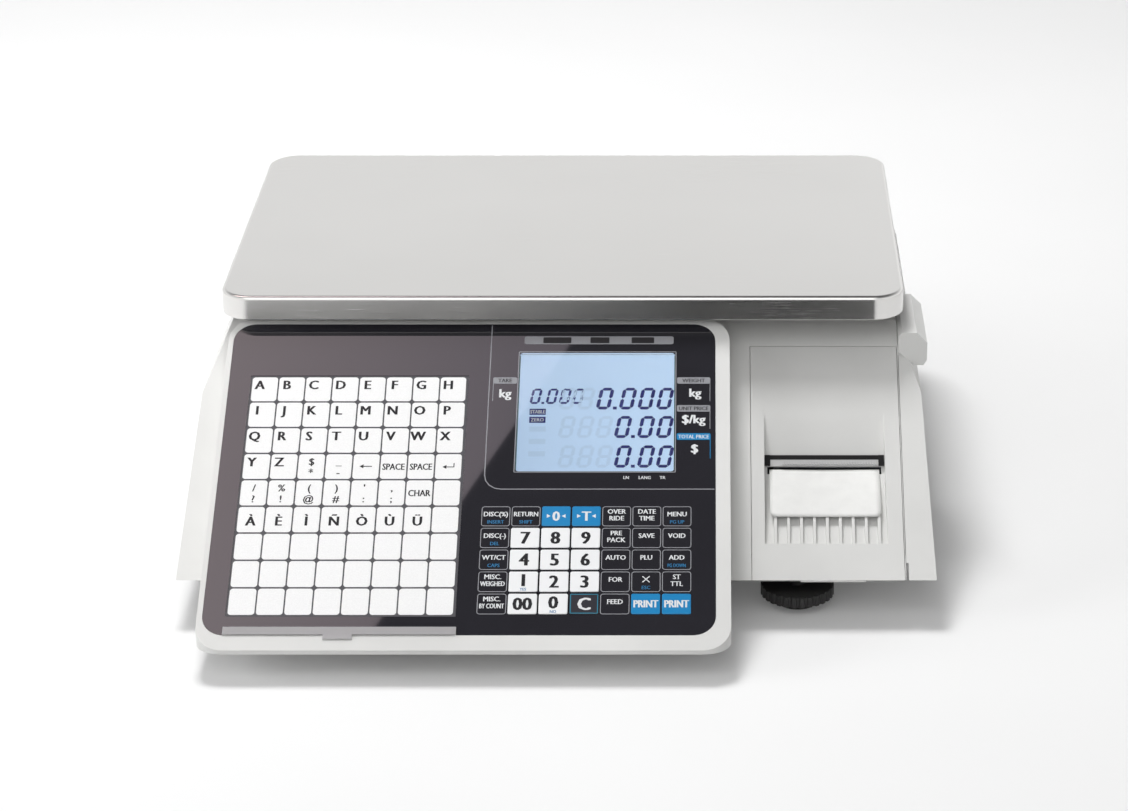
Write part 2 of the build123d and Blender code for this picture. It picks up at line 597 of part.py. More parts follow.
# ---------------------------------------------------------------- base tray
tongue_left = PANEL_LEFT - BEZEL_LEFT + WALL + GAP
tongue_right = PANEL_LEFT + PANEL_WIDTH + BEZEL_RIGHT - WALL - GAP
tongue_end = PANEL_LENGTH + BEZEL_BOTTOM - NOSE_BLOCK
tongue_front = PANEL_TOP_Y - tongue_end * cos(radians(PANEL_SLOPE)) + GAP
tongue_front += plate_depth * sin(radians(PANEL_SLOPE))
with BuildPart() as base_tray:
    with BuildSketch(Plane.XY.offset(TRAY_BOTTOM)):
        with Locations((0, (TRAY_FRONT + TRAY_REAR) / 2)):
            RectangleRounded(TRAY_WIDTH, TRAY_REAR - TRAY_FRONT, 8)
    extrude(amount=TRAY_WALL_TOP - TRAY_BOTTOM)
    with BuildSketch(Plane.XY.offset(tray_floor)):
        with Locations((0, (TRAY_FRONT + TRAY_REAR) / 2)):
            RectangleRounded(TRAY_WIDTH - 2 * WALL, TRAY_REAR - TRAY_FRONT - 2 * WALL, 8 - WALL)
    extrude(amount=TRAY_WALL_TOP, mode=Mode.SUBTRACT)
    # tongue under the console
    with BuildSketch(Plane.XY.offset(TRAY_BOTTOM)) as tongue:
        with Locations((tongue_left, TRAY_FRONT + 20)):
            Rectangle(
                tongue_right - tongue_left,
                TRAY_FRONT + 20 - tongue_front,
                align=(Align.MIN, Align.MAX),
            )
        fillet(tongue.vertices().group_by(Axis.Y)[0], BEZEL_CORNER)
    extrude(amount=WALL)
    with Locations((tongue_left, TRAY_FRONT - 1, tray_floor)):
        Box(
            tongue_right - tongue_left,
            WALL + 2,
            TRAY_WALL_TOP,
            align=(Align.MIN, Align.MIN, Align.MIN),
            mode=Mode.SUBTRACT,
        )
    # flange that closes the gap to the housing, at the left, the rear and behind the door
    flange_z = TRAY_WALL_TOP - WALL
    with Locations((-TRAY_WIDTH / 2 + 1, DOOR_REAR, flange_z)):
        Box(11, 280, WALL, align=(Align.MAX, Align.CENTER, Align.MIN))
    with Locations((TRAY_WIDTH / 2 - 1, DOOR_REAR + 6, flange_z)):
        Box(11, 134, WALL, align=(Align.MIN, Align.MIN, Align.MIN))
    # bosses for the feet
    with Locations(*[(x, y, TRAY_BOTTOM) for x, y in feet.values()]):
        Cylinder(7, FOOT_BOSS_TOP - TRAY_BOTTOM, align=(Align.CENTER, Align.CENTER, Align.MIN))
        Cylinder(
            STUD_RADIUS + RUN,
            STUD_TOP + FOOT_TRAVEL - TRAY_BOTTOM,
            align=(Align.CENTER, Align.CENTER, Align.MIN),
            mode=Mode.SUBTRACT,
        )
    # pedestal for the load cell's fixed end, and the boss of its overload stop
    with Locations((fixed_x, PLATTER_Y, TRAY_BOTTOM)):
        Box(
            CELL_GRIP,
            CELL_WIDTH,
            CELL_BOTTOM - TRAY_BOTTOM,
            align=(Align.CENTER, Align.CENTER, Align.MIN),
        )
        with GridLocations(CELL_SCREW_PITCH, 0, 2, 1):
            Cylinder(
                CELL_SCREW + RUN,
                CELL_BOTTOM - TRAY_BOTTOM,
                align=(Align.CENTER, Align.CENTER, Align.MIN),
                mode=Mode.SUBTRACT,
            )
            Cylinder(
                5.3, 6.2, align=(Align.CENTER, Align.CENTER, Align.MIN), mode=Mode.SUBTRACT
            )
    with Locations((live_x, PLATTER_Y, TRAY_BOTTOM)):
        Cylinder(8, 22, align=(Align.CENTER, Align.CENTER, Align.MIN))
        Cylinder(
            CELL_SCREW + RUN,
            22,
            align=(Align.CENTER, Align.CENTER, Align.MIN),
            mode=Mode.SUBTRACT,
        )
    # screw holes for the housing and the console
    with Locations(*[(x, y, TRAY_BOTTOM) for x, y in housing_bosses + console_bosses]):
        Cylinder(
            2.2, WALL, align=(Align.CENTER, Align.CENTER, Align.MIN), mode=Mode.SUBTRACT
        )
    # posts for the main board and the power supply
    with Locations(*[(x, y, tray_floor) for x in (-32, 112) for y in (134, 196)]):
        Cylinder(3.5, PORT_Z - tray_floor, align=(Align.CENTER, Align.CENTER, Align.MIN))
    with Locations(*[(x, y, tray_floor) for x in (-166, -96) for y in (67, 143)]):
        Cylinder(3.5, 5, align=(Align.CENTER, Align.CENTER, Align.MIN))
    # pairs of ears that carry the side door's hinge pins
    for hinge_y in HINGE_YS:
        for side in (-1, 1):
            ear_plane = Plane.XZ.offset(-hinge_y - side * (HINGE_WIDTH / 2 + GAP + 2))
            with BuildSketch(ear_plane):
                with Locations(((HINGE_X + TRAY_WIDTH / 2 - 1) / 2, HINGE_Z)):
                    Rectangle(HINGE_X - TRAY_WIDTH / 2 + 1, 2 * HINGE_LUG)
                with Locations((HINGE_X, HINGE_Z)):
                    Circle(HINGE_LUG)
                    Circle(HINGE_PIN + RUN, mode=Mode.SUBTRACT)
            extrude(amount=2, both=True)
keep(base_tray, "base_tray")

with BuildPart() as underside_screws:
    with Locations(*[(x, y, TRAY_BOTTOM) for x, y in housing_bosses + console_bosses]):
        Cylinder(3.8, 2.2, align=(Align.CENTER, Align.CENTER, Align.MAX))
        Cylinder(1.95, 14, align=(Align.CENTER, Align.CENTER, Align.MIN))
    with Locations((fixed_x, PLATTER_Y, TRAY_BOTTOM + 6.2)):
        with GridLocations(CELL_SCREW_PITCH, 0, 2, 1):
            Cylinder(4.9, 5.6, align=(Align.CENTER, Align.CENTER, Align.MAX))
            Cylinder(
                CELL_SCREW - 0.02,
                CELL_BOTTOM - TRAY_BOTTOM + 8,
                align=(Align.CENTER, Align.CENTER, Align.MIN),
            )
    with Locations((live_x, PLATTER_Y, CELL_BOTTOM - STOP_TRAVEL)):
        Cylinder(CELL_SCREW, 30, align=(Align.CENTER, Align.CENTER, Align.MAX))
keep(underside_screws, "underside_screws")

# ---------------------------------------------------------------- feet
for corner, (foot_x, foot_y) in feet.items():
    with BuildPart() as foot_pad:
        with Locations((foot_x, foot_y, 0)):
            Cylinder(
                FOOT_PAD_RADIUS, FOOT_PAD_HEIGHT, align=(Align.CENTER, Align.CENTER, Align.MIN)
            )
        chamfer(foot_pad.edges().group_by(Axis.Z)[0], 0.8)
        with Locations((foot_x, foot_y, 2)):
            Cylinder(
                STUD_RADIUS + RUN,
                FOOT_PAD_HEIGHT,
                align=(Align.CENTER, Align.CENTER, Align.MIN),
                mode=Mode.SUBTRACT,
            )
    keep(foot_pad, "foot_pad_" + corner)
    with BuildPart() as foot_wheel:
        with BuildSketch(Plane.XY.offset(wheel_bottom)):
            with Locations((foot_x, foot_y)):
                Circle(WHEEL_RADIUS)
                with PolarLocations(WHEEL_RADIUS + 0.2, WHEEL_NOTCHES):
                    Circle(1.1, mode=Mode.SUBTRACT)
        extrude(amount=WHEEL_THICKNESS)
        with Locations((foot_x, foot_y, 2)):
            Cylinder(STUD_RADIUS, STUD_TOP - 2, align=(Align.CENTER, Align.CENTER, Align.MIN))
    keep(foot_wheel, "foot_wheel_" + corner)

# ---------------------------------------------------------------- weighing parts
with BuildPart() as load_cell:
    with Locations((0, PLATTER_Y, CELL_BOTTOM)):
        Box(
            CELL_LENGTH,
            CELL_WIDTH,
            CELL_HEIGHT,
            align=(Align.CENTER, Align.CENTER, Align.MIN),
        )
    # the twin bores that make the bending section
    with BuildSketch(Plane.XZ.offset(-PLATTER_Y)):
        with Locations((-12, CELL_BOTTOM + CELL_HEIGHT / 2), (12, CELL_BOTTOM + CELL_HEIGHT / 2)):
            Circle(8)
        with Locations((0, CELL_BOTTOM + CELL_HEIGHT / 2)):
            Rectangle(24, 6)
    extrude(amount=CELL_WIDTH, both=True, mode=Mode.SUBTRACT)
    with Locations((fixed_x, PLATTER_Y, CELL_BOTTOM), (live_x, PLATTER_Y, CELL_BOTTOM)):
        with GridLocations(CELL_SCREW_PITCH, 0, 2, 1):
            Cylinder(
                CELL_SCREW,
                CELL_HEIGHT,
                align=(Align.CENTER, Align.CENTER, Align.MIN),
                mode=Mode.SUBTRACT,
            )
keep(load_cell, "load_cell")

with BuildPart() as platter_spider:
    arm_length = 2 * sqrt(SPIDER_REACH_X**2 + SPIDER_REACH_Y**2)
    arm_angle = degrees(acos(2 * SPIDER_REACH_X / arm_length))
    with BuildSketch(Plane.XY.offset(spider_bottom)) as spider_plan:
        with Locations((0, PLATTER_Y)):
            SlotOverall(arm_length + SPIDER_ARM, SPIDER_ARM, rotation=arm_angle)
            SlotOverall(arm_length + SPIDER_ARM, SPIDER_ARM, rotation=-arm_angle)
            RectangleRounded(130, 80, 10)
    extrude(amount=SPIDER_THICKNESS)
    chamfer(platter_spider.edges().group_by(Axis.Z)[-1], 1.5)
    with Locations((live_x, PLATTER_Y, spider_bottom)):
        Box(28, 24, spider_bottom - cell_top, align=(Align.CENTER, Align.CENTER, Align.MAX))
    with Locations((live_x, PLATTER_Y, spider_top)):
        with GridLocations(CELL_SCREW_PITCH, 0, 2, 1):
            CounterBoreHole(CELL_SCREW + FIT, 5, 6)
keep(platter_spider, "platter_spider")

with BuildPart() as spider_screws:
    with Locations((live_x, PLATTER_Y, spider_top - 6)):
        with GridLocations(CELL_SCREW_PITCH, 0, 2, 1):
            Cylinder(4.8, 5, align=(Align.CENTER, Align.CENTER, Align.MIN))
            Cylinder(
                CELL_SCREW - 0.02,
                spider_top - 6 - cell_top + 12,
                align=(Align.CENTER, Align.CENTER, Align.MAX),
            )
keep(spider_screws, "spider_screws")

with BuildPart() as support_pads:
    with Locations((0, PLATTER_Y, spider_top)):
        with GridLocations(2 * SPIDER_REACH_X, 2 * SPIDER_REACH_Y, 2, 2):
            Cylinder(PAD_RADIUS, PAD_HEIGHT, align=(Align.CENTER, Align.CENTER, Align.MIN))
keep(support_pads, "support_pads")

with BuildPart() as platter:
    with BuildSketch(Plane.XY.offset(PLATTER_TOP - PLATTER_RIM)):
        with Locations((0, PLATTER_Y)):
            RectangleRounded(PLATTER_WIDTH, PLATTER_DEPTH, PLATTER_CORNER)
    extrude(amount=PLATTER_RIM)
    fillet(platter.edges().group_by(Axis.Z)[-1], 2.2)
    with BuildSketch(Plane.XY.offset(PLATTER_TOP - PLATTER_RIM)):
        with Locations((0, PLATTER_Y)):
            RectangleRounded(
                PLATTER_WIDTH - 2 * PLATTER_SHEET,
                PLATTER_DEPTH - 2 * PLATTER_SHEET,
                PLATTER_CORNER - PLATTER_SHEET,
            )
    extrude(amount=PLATTER_RIM - PLATTER_SHEET, mode=Mode.SUBTRACT)
keep(platter, "platter")

with BuildPart() as level_vial:
    with Locations((VIAL_X, PLATTER_Y, DECK_Z - 5.5)):
        Cylinder(8, 6.5, align=(Align.CENTER, Align.CENTER, Align.MIN))
    chamfer(level_vial.edges().group_by(Axis.Z)[-1], 0.6)
keep(level_vial, "level_vial")

# ---------------------------------------------------------------- console contents
with BuildPart() as keypad_overlay:
    with BuildSketch(panel):
        panel_rect(0, 0, PANEL_WIDTH, PANEL_LENGTH, PANEL_CORNER)
    extrude(amount=-OVERLAY)
    with BuildSketch(panel):
        panel_rect(PRESET_U, PRESET_W, PRESET_WIDTH, PRESET_LENGTH, 0, FIT)
        panel_rect(DISPLAY_U, DISPLAY_W, DISPLAY_WIDTH, DISPLAY_LENGTH, 2, FIT)
        for column, row in KEYS.values():
            panel_rect(*key_corner(column, row), KEY_WIDTH, KEY_LENGTH, 1, FIT)
    extrude(amount=-OVERLAY, mode=Mode.SUBTRACT)
keep(keypad_overlay, "keypad_overlay")

with BuildPart() as preset_key_sheet:
    with BuildSketch(panel.offset(-OVERLAY)):
        panel_rect(PRESET_U, PRESET_W, PRESET_WIDTH, PRESET_LENGTH)
    extrude(amount=PRESET_SHEET)
keep(preset_key_sheet, "preset_key_sheet")

with BuildPart() as sheet_cover:
    with BuildSketch(panel):
        panel_rect(COVER_U, COVER_W, COVER_WIDTH, PANEL_LENGTH - COVER_W)
        panel_rect(TAB_U, PANEL_LENGTH, TAB_WIDTH, TAB_REACH)
    extrude(amount=COVER_THICKNESS)
keep(sheet_cover, "sheet_cover")

with BuildPart() as display_window:
    with BuildSketch(panel.offset(-FIT)):
        panel_rect(DISPLAY_U, DISPLAY_W, DISPLAY_WIDTH, DISPLAY_LENGTH, 2)
    extrude(amount=-DISPLAY_GLASS)
keep(display_window, "display_window")

with BuildPart() as operator_lcd:
    with BuildSketch(panel.offset(-BOARD_DEPTH)):
        panel_rect(DISPLAY_U, DISPLAY_W, DISPLAY_WIDTH, DISPLAY_LENGTH, 0, -0.4)
    extrude(amount=BOARD_DEPTH - DISPLAY_GLASS - 3 * FIT)
keep(operator_lcd, "operator_lcd")

with BuildPart() as key_board:
    with BuildSketch(panel.offset(-BOARD_DEPTH)):
        panel_rect(16, 8, PANEL_WIDTH - 32, 184)
    extrude(amount=-BOARD_THICKNESS)
    # drivers and the ribbon socket, on the underside
    with BuildSketch(panel.offset(-BOARD_DEPTH - BOARD_THICKNESS)):
        panel_rect(60, 40, 16, 16)
        panel_rect(95, 44, 10, 7)
        panel_rect(40, 80, 30, 6)
    extrude(amount=-2.5)
keep(key_board, "key_board")

for key_name, (column, row) in KEYS.items():
    key_u, key_w = key_corner(column, row)
    with BuildPart() as key:
        with BuildSketch(panel.offset(KEY_PROUD)):
            panel_rect(key_u, key_w, KEY_WIDTH, KEY_LENGTH, 1)
        extrude(amount=-KEY_THICKNESS)
        with BuildSketch(panel.offset(KEY_PROUD - KEY_THICKNESS)):
            with Locations((key_u + KEY_WIDTH / 2, -key_w - KEY_LENGTH / 2)):
                Circle(KEY_STEM)
        extrude(amount=-(BOARD_DEPTH + KEY_PROUD - KEY_THICKNESS - KEY_TRAVEL - FIT))
    keep(key, key_name)

# ---------------------------------------------------------------- customer display
with BuildPart() as customer_window:
    with BuildSketch(Plane.XZ.offset(-BODY_REAR)):
        with Locations((0, CUSTOMER_Z)):
            RectangleRounded(CUSTOMER_WIDTH, CUSTOMER_HEIGHT, 3 - FIT)
    extrude(amount=1.5)
keep(customer_window, "customer_window")

with BuildPart() as customer_lcd:
    with Locations((0, BODY_REAR - WALL, CUSTOMER_Z)):
        Box(CUSTOMER_WIDTH - 4, 8, CUSTOMER_HEIGHT - 4, align=(Align.CENTER, Align.MAX, Align.CENTER))
keep(customer_lcd, "customer_lcd")

# ---------------------------------------------------------------- electronics
board_top = PORT_Z + BOARD_THICKNESS
with BuildPart() as main_board:
    with Locations((40, 165, PORT_Z)):
        Box(156, 76, BOARD_THICKNESS, align=(Align.CENTER, Align.CENTER, Align.MIN))
    # processor shield, memory, ribbon sockets and coin cell
    for x, y, width, depth, height in (
        (10, 158, 44, 36, 6),
        (52, 150, 22, 12, 2.5),
        (52, 168, 22, 12, 2.5),
        (85, 136, 34, 6, 5),
        (100, 160, 20, 20, 4),
        (-20, 136, 24, 6, 5),
    ):
        with Locations((x, y, board_top)):
            Box(width, depth, height, align=(Align.CENTER, Align.CENTER, Align.MIN))
    # two network style sockets and a serial socket, which reach the rear wall
    for port_x in (20, 60):
        with Locations((port_x, BODY_REAR - 1, board_top)):
            Box(16, 20, 13.4, align=(Align.CENTER, Align.MAX, Align.MIN))
        with Locations((port_x, BODY_REAR, board_top + 2)):
            Box(
                11.8,
                14,
                8.4,
                align=(Align.CENTER, Align.MAX, Align.MIN),
                mode=Mode.SUBTRACT,
            )
    with Locations((100, BODY_REAR - 1, board_top)):
        Box(30.8, 16, 12.6, align=(Align.CENTER, Align.MAX, Align.MIN))
keep(main_board, "main_board")

with BuildPart() as power_supply:
    with Locations((-131, 105, tray_floor + 5)):
        Box(80, 86, BOARD_THICKNESS, align=(Align.CENTER, Align.CENTER, Align.MIN))
    supply_top = tray_floor + 5 + BOARD_THICKNESS
    for x, y, width, depth, height in (
        (-131, 103, 30, 26, 24),
        (-156, 81, 18, 14, 12),
        (-104, 113, 6, 50, 26),
        (-158, 123, 16, 20, 14),
    ):
        with Locations((x, y, supply_top)):
            Box(width, depth, height, align=(Align.CENTER, Align.CENTER, Align.MIN))
    with Locations((-131, 77, supply_top)):
        Cylinder(9, 26, align=(Align.CENTER, Align.CENTER, Align.MIN))
keep(power_supply, "power_supply")

socket_x = INLET_X - 9
rocker_x = INLET_X + 15
inlet_face = BODY_REAR - 0.2
with BuildPart() as power_inlet:
    with Locations((INLET_X, inlet_face, INLET_Z)):
        Box(
            INLET_WIDTH,
            INLET_DEPTH,
            INLET_HEIGHT,
            align=(Align.CENTER, Align.MAX, Align.CENTER),
        )
    with Locations((socket_x, inlet_face, INLET_Z)):
        Box(
            22.4,
            15,
            15,
            align=(Align.CENTER, Align.MAX, Align.CENTER),
            mode=Mode.SUBTRACT,
        )
    for pin_x, pin_z in ((-7, -2), (7, -2), (0, 2)):
        with Locations((socket_x + pin_x, inlet_face - 2, INLET_Z + pin_z)):
            Box(2, 14, 4, align=(Align.CENTER, Align.MAX, Align.CENTER))
    with Locations((rocker_x, inlet_face, INLET_Z)):
        Box(
            11,
            16,
            21,
            align=(Align.CENTER, Align.MAX, Align.CENTER),
            mode=Mode.SUBTRACT,
        )
    with BuildSketch(Plane.YZ.offset(rocker_x - 6.5)):
        with Locations((inlet_face - 6, INLET_Z)):
            Circle(1.5)
    extrude(amount=13)
keep(power_inlet, "power_inlet")

with BuildPart() as power_rocker:
    with BuildSketch(Plane.YZ.offset(rocker_x - 5)):
        with BuildLine():
            Polyline(
                (inlet_face - 9, INLET_Z - 4),
                (inlet_face - 4.6, INLET_Z - 9.4),
                (inlet_face - 3.4, INLET_Z - 9.0),
                (inlet_face - 2.8, INLET_Z),
                (inlet_face - 0.2, INLET_Z + 8.6),
                (inlet_face - 1.4, INLET_Z + 9.2),
                (inlet_face - 9, INLET_Z + 4),
                close=True,
            )
        make_face()
        with Locations((inlet_face - 6, INLET_Z)):
            Circle(1.5 + RUN, mode=Mode.SUBTRACT)
    extrude(amount=10)
keep(power_rocker, "power_rocker")

# ---------------------------------------------------------------- label printer
idler_reach = GEAR_MODULE * (PLATEN_TEETH + IDLER_TEETH) / 2
IDLER_Y = PLATEN_Y + idler_reach * cos(radians(IDLER_ANGLE))
IDLER_Z = PLATEN_Z + idler_reach * sin(radians(IDLER_ANGLE))
pinion_reach = GEAR_MODULE * (IDLER_TEETH + PINION_TEETH) / 2
MOTOR_Y = IDLER_Y + pinion_reach * cos(radians(PINION_ANGLE))
MOTOR_Z = IDLER_Z + pinion_reach * sin(radians(PINION_ANGLE))
# a tooth of one gear faces a gap of the next
idler_phase = IDLER_ANGLE + 180 + 180 / IDLER_TEETH
idler_pitch = 360 / IDLER_TEETH
tooth_lead = (idler_phase - PINION_ANGLE) % idler_pitch
pinion_phase = PINION_ANGLE + 180 + 180 / PINION_TEETH - tooth_lead * IDLER_TEETH / PINION_TEETH


def gear_outline(y, z, teeth, phase):
    """An involute gear's outline, in a YZ sketch, with a tooth at the phase angle."""
    pitch_r = GEAR_MODULE * teeth / 2
    base_r = pitch_r * cos(radians(20))
    root_r = pitch_r - 1.2 * GEAR_MODULE
    tip_r = pitch_r + 0.9 * GEAR_MODULE
    half_tooth = 90 / teeth + degrees(tan(radians(20))) - 20 - degrees(0.06 / pitch_r)

    def flank(radius, side):
        pressure = acos(min(1.0, base_r / radius))
        turn = half_tooth - degrees(tan(pressure) - pressure)
        angle = radians(side * turn)
        return radius * cos(angle), radius * sin(angle)

    start_r = max(base_r, root_r)
    steps = [start_r + (tip_r - start_r) * i / 3 for i in range(4)]
    with BuildSketch() as tooth:
        with BuildLine():
            Spline(*[flank(r, -1) for r in steps])
            Line(flank(tip_r, -1), flank(tip_r, 1))
            Spline(*[flank(r, 1) for r in reversed(steps)])
            Polyline(flank(start_r, 1), (root_r * 0.7, 0), flank(start_r, -1))
        make_face()
    with Locations(Location((y, z), phase)):
        Circle(root_r)
        with PolarLocations(0, teeth):
            add(tooth.sketch)


def x_rod(x, y, z, radius, length, mode=Mode.ADD):
    """A round rod or hole along X."""
    with BuildSketch(Plane.YZ.offset(x)) as section:
        with Locations((y, z)):
            Circle(radius)
    extrude(section.sketch, amount=length, mode=mode)


web_right = WEB_LEFT + WEB_WIDTH
frame_inside = FRAME_LEFT + FRAME_PLATE
ear_right = EAR_LEFT + FRAME_PLATE
frame_front, frame_rear = -80.0, 60.0
with BuildPart() as printer_frame:
    with BuildSketch(Plane.YZ.offset(FRAME_LEFT)):
        with BuildLine():
            Polyline(
                (frame_front, tray_floor),
                (frame_front, PLATEN_Z + 3),
                (PLATEN_Y, PLATEN_Z + 11),
                (LEVER_Y - 4, LEVER_Z + 4),
                (HEAD_Y + 6, HEAD_Z + 18),
                (-8, 100),
                (frame_rear, 100),
                (frame_rear, tray_floor),
                close=True,
            )
        make_face()
    extrude(amount=FRAME_PLATE)
    with BuildSketch(Plane.YZ.offset(FRAME_LEFT)):
        with BuildLine():
            Polyline(
                (frame_front, tray_floor),
                (frame_front, tray_floor + FRAME_PLATE),
                (frame_rear, tray_floor + FRAME_PLATE),
                (frame_rear, tray_floor),
                close=True,
            )
        make_face()
    extrude(amount=ear_right - FRAME_LEFT)
    with BuildSketch(Plane.YZ.offset(EAR_LEFT)):
        with BuildLine():
            Polyline(
                (frame_front, tray_floor),
                (frame_front, PLATEN_Z + 3),
                (PLATEN_Y, PLATEN_Z + 11),
                (LEVER_Y - 5, LEVER_Z + 5),
                (HEAD_Y + 6, LEVER_Z + 5),
                (HEAD_Y + 9, tray_floor),
                close=True,
            )
        make_face()
    extrude(amount=FRAME_PLATE)
    # hubs for the label roll and the take-up spool
    x_rod(frame_inside, ROLL_Y, ROLL_Z, HUB_RADIUS, web_right + 2 - frame_inside)
    x_rod(frame_inside, SPOOL_Y, SPOOL_Z, SPOOL_HUB, web_right + 2 - frame_inside)
    x_rod(FRAME_LEFT, ROLL_Y, ROLL_Z, HUB_RADIUS - WALL, 80, Mode.SUBTRACT)
    # gear pin and motor posts on the left of the plate
    x_rod(GEAR_LEFT, IDLER_Y, IDLER_Z, PIVOT_RADIUS, FRAME_LEFT - GEAR_LEFT)
    for post_z in (MOTOR_Z - 14.8, MOTOR_Z + 14.8):
        x_rod(GEAR_LEFT - 1, MOTOR_Y + 14.8, post_z, 2.5, FRAME_LEFT - GEAR_LEFT + 1)
    # bearings of the platen, the head and the lever
    for bore_y, bore_z, bore_r in (
        (PLATEN_Y, PLATEN_Z, SHAFT_RADIUS),
        (HEAD_Y, HEAD_Z, PIVOT_RADIUS),
    ):
        x_rod(FRAME_LEFT, bore_y, bore_z, bore_r + RUN, 80, Mode.SUBTRACT)
    x_rod(EAR_LEFT, LEVER_Y, LEVER_Z, PIVOT_RADIUS + RUN, FRAME_PLATE, Mode.SUBTRACT)
keep(printer_frame, "printer_frame")

with BuildPart() as platen_roller:
    x_rod(WEB_LEFT + 1, PLATEN_Y, PLATEN_Z, PLATEN_RADIUS, WEB_WIDTH)
    x_rod(GEAR_LEFT - 1, PLATEN_Y, PLATEN_Z, SHAFT_RADIUS, ear_right + 1 - GEAR_LEFT)
    with BuildSketch(Plane.YZ.offset(GEAR_LEFT)):
        gear_outline(PLATEN_Y, PLATEN_Z, PLATEN_TEETH, IDLER_ANGLE)
    extrude(amount=GEAR_WIDTH)
keep(platen_roller, "platen_roller")

with BuildPart() as idler_gear:
    with BuildSketch(Plane.YZ.offset(GEAR_LEFT)):
        gear_outline(IDLER_Y, IDLER_Z, IDLER_TEETH, idler_phase)
        with Locations((IDLER_Y, IDLER_Z)):
            Circle(PIVOT_RADIUS + RUN, mode=Mode.SUBTRACT)
    extrude(amount=GEAR_WIDTH)
keep(idler_gear, "idler_gear")

motor_face = GEAR_LEFT - 1
with BuildPart() as motor_pinion:
    with BuildSketch(Plane.YZ.offset(GEAR_LEFT)):
        gear_outline(MOTOR_Y, MOTOR_Z, PINION_TEETH, pinion_phase)
    extrude(amount=GEAR_WIDTH)
    x_rod(motor_face - 12, MOTOR_Y, MOTOR_Z, 1.5, 13)
keep(motor_pinion, "motor_pinion")

with BuildPart() as feed_motor:
    x_rod(motor_face - MOTOR_LENGTH, MOTOR_Y, MOTOR_Z, MOTOR_RADIUS, MOTOR_LENGTH)
    with Locations((motor_face, MOTOR_Y + 11, MOTOR_Z)):
        Box(1.5, 22, 36, align=(Align.MAX, Align.CENTER, Align.CENTER))
    x_rod(motor_face - 12, MOTOR_Y, MOTOR_Z, 1.5 + RUN, 12, Mode.SUBTRACT)
keep(feed_motor, "feed_motor")

with BuildPart() as print_head:
    head_left, head_right = frame_inside + 2, EAR_LEFT - 4
    with BuildSketch(Plane.YZ.offset(head_left)):
        with Locations((PLATEN_Y + 6, PLATEN_Z + PLATEN_RADIUS + GAP)):
            Rectangle(20, 6, align=(Align.CENTER, Align.MIN))
    extrude(amount=head_right - head_left)
    for arm_x in (head_left, head_right - 3):
        with BuildSketch(Plane.YZ.offset(arm_x)):
            with BuildLine():
                Polyline(
                    (PLATEN_Y + 4, PLATEN_Z + PLATEN_RADIUS + 2),
                    (PLATEN_Y + 4, PLATEN_Z + PLATEN_RADIUS + 6),
                    (HEAD_Y - 4, HEAD_Z + 4),
                    (HEAD_Y + 3, HEAD_Z - 4),
                    close=True,
                )
            make_face()
            with Locations((HEAD_Y, HEAD_Z)):
                Circle(5)
        extrude(amount=3)
    x_rod(FRAME_LEFT + GAP, HEAD_Y, HEAD_Z, PIVOT_RADIUS, ear_right - FRAME_LEFT - 2 * GAP)
keep(print_head, "print_head")

with BuildPart() as head_lever:
    with BuildSketch(Plane.YZ.offset(ear_right + GAP)):
        with Locations(Location((LEVER_Y, LEVER_Z), 20)):
            with Locations((12, 0)):
                SlotOverall(34, 9)
    extrude(amount=2.6)
    x_rod(EAR_LEFT + GAP, LEVER_Y, LEVER_Z, PIVOT_RADIUS, FRAME_PLATE + 1)
keep(head_lever, "head_lever")

with BuildPart() as peel_bar:
    with BuildSketch(Plane.YZ.offset(RECESS_LEFT + FIT)):
        with BuildLine():
            Polyline(
                face_point(SLOT_START + 2.4, RECESS_DEPTH - 1.5),
                face_point(SLOT_START + 2.4, RECESS_DEPTH),
                face_point(SLOT_START + 7, RECESS_DEPTH),
                face_point(SLOT_START + 7, RECESS_DEPTH - 1.1),
                close=True,
            )
        make_face()
    extrude(amount=RECESS_RIGHT - RECESS_LEFT - 2 * FIT)
keep(peel_bar, "peel_bar")

with BuildPart() as label_roll:
    x_rod(WEB_LEFT, ROLL_Y, ROLL_Z, ROLL_RADIUS, WEB_WIDTH)
    x_rod(WEB_LEFT, ROLL_Y, ROLL_Z, HUB_RADIUS + 2 * RUN, WEB_WIDTH, Mode.SUBTRACT)
keep(label_roll, "label_roll")

with BuildPart() as take_up_spool:
    x_rod(WEB_LEFT, SPOOL_Y, SPOOL_Z, SPOOL_RADIUS - 4, WEB_WIDTH)
    for flange_x in (WEB_LEFT, web_right - 1.5):
        x_rod(flange_x, SPOOL_Y, SPOOL_Z, SPOOL_RADIUS, 1.5)
    x_rod(WEB_LEFT, SPOOL_Y, SPOOL_Z, SPOOL_HUB + 2 * RUN, WEB_WIDTH, Mode.SUBTRACT)
keep(take_up_spool, "take_up_spool")

label_left = RECESS_LEFT + (RECESS_RIGHT - RECESS_LEFT - LABEL_WIDTH) / 2
with BuildPart() as issued_label:
    with BuildSketch(Plane.YZ.offset(label_left)):
        with BuildLine():
            Polyline(
                face_point(SLOT_END - 3.5, RECESS_DEPTH + 0.2),
                face_point(RECESS_END - 17.5, 1.2),
                face_point(RECESS_END - 17.5, 1.2 + LABEL_THICKNESS),
                face_point(SLOT_END - 3.5, RECESS_DEPTH + 0.2 + LABEL_THICKNESS),
                close=True,
            )
        make_face()
    extrude(amount=LABEL_WIDTH)
keep(issued_label, "issued_label")
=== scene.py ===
import json
import math

import bmesh
import bpy
from mathutils import Matrix, Vector

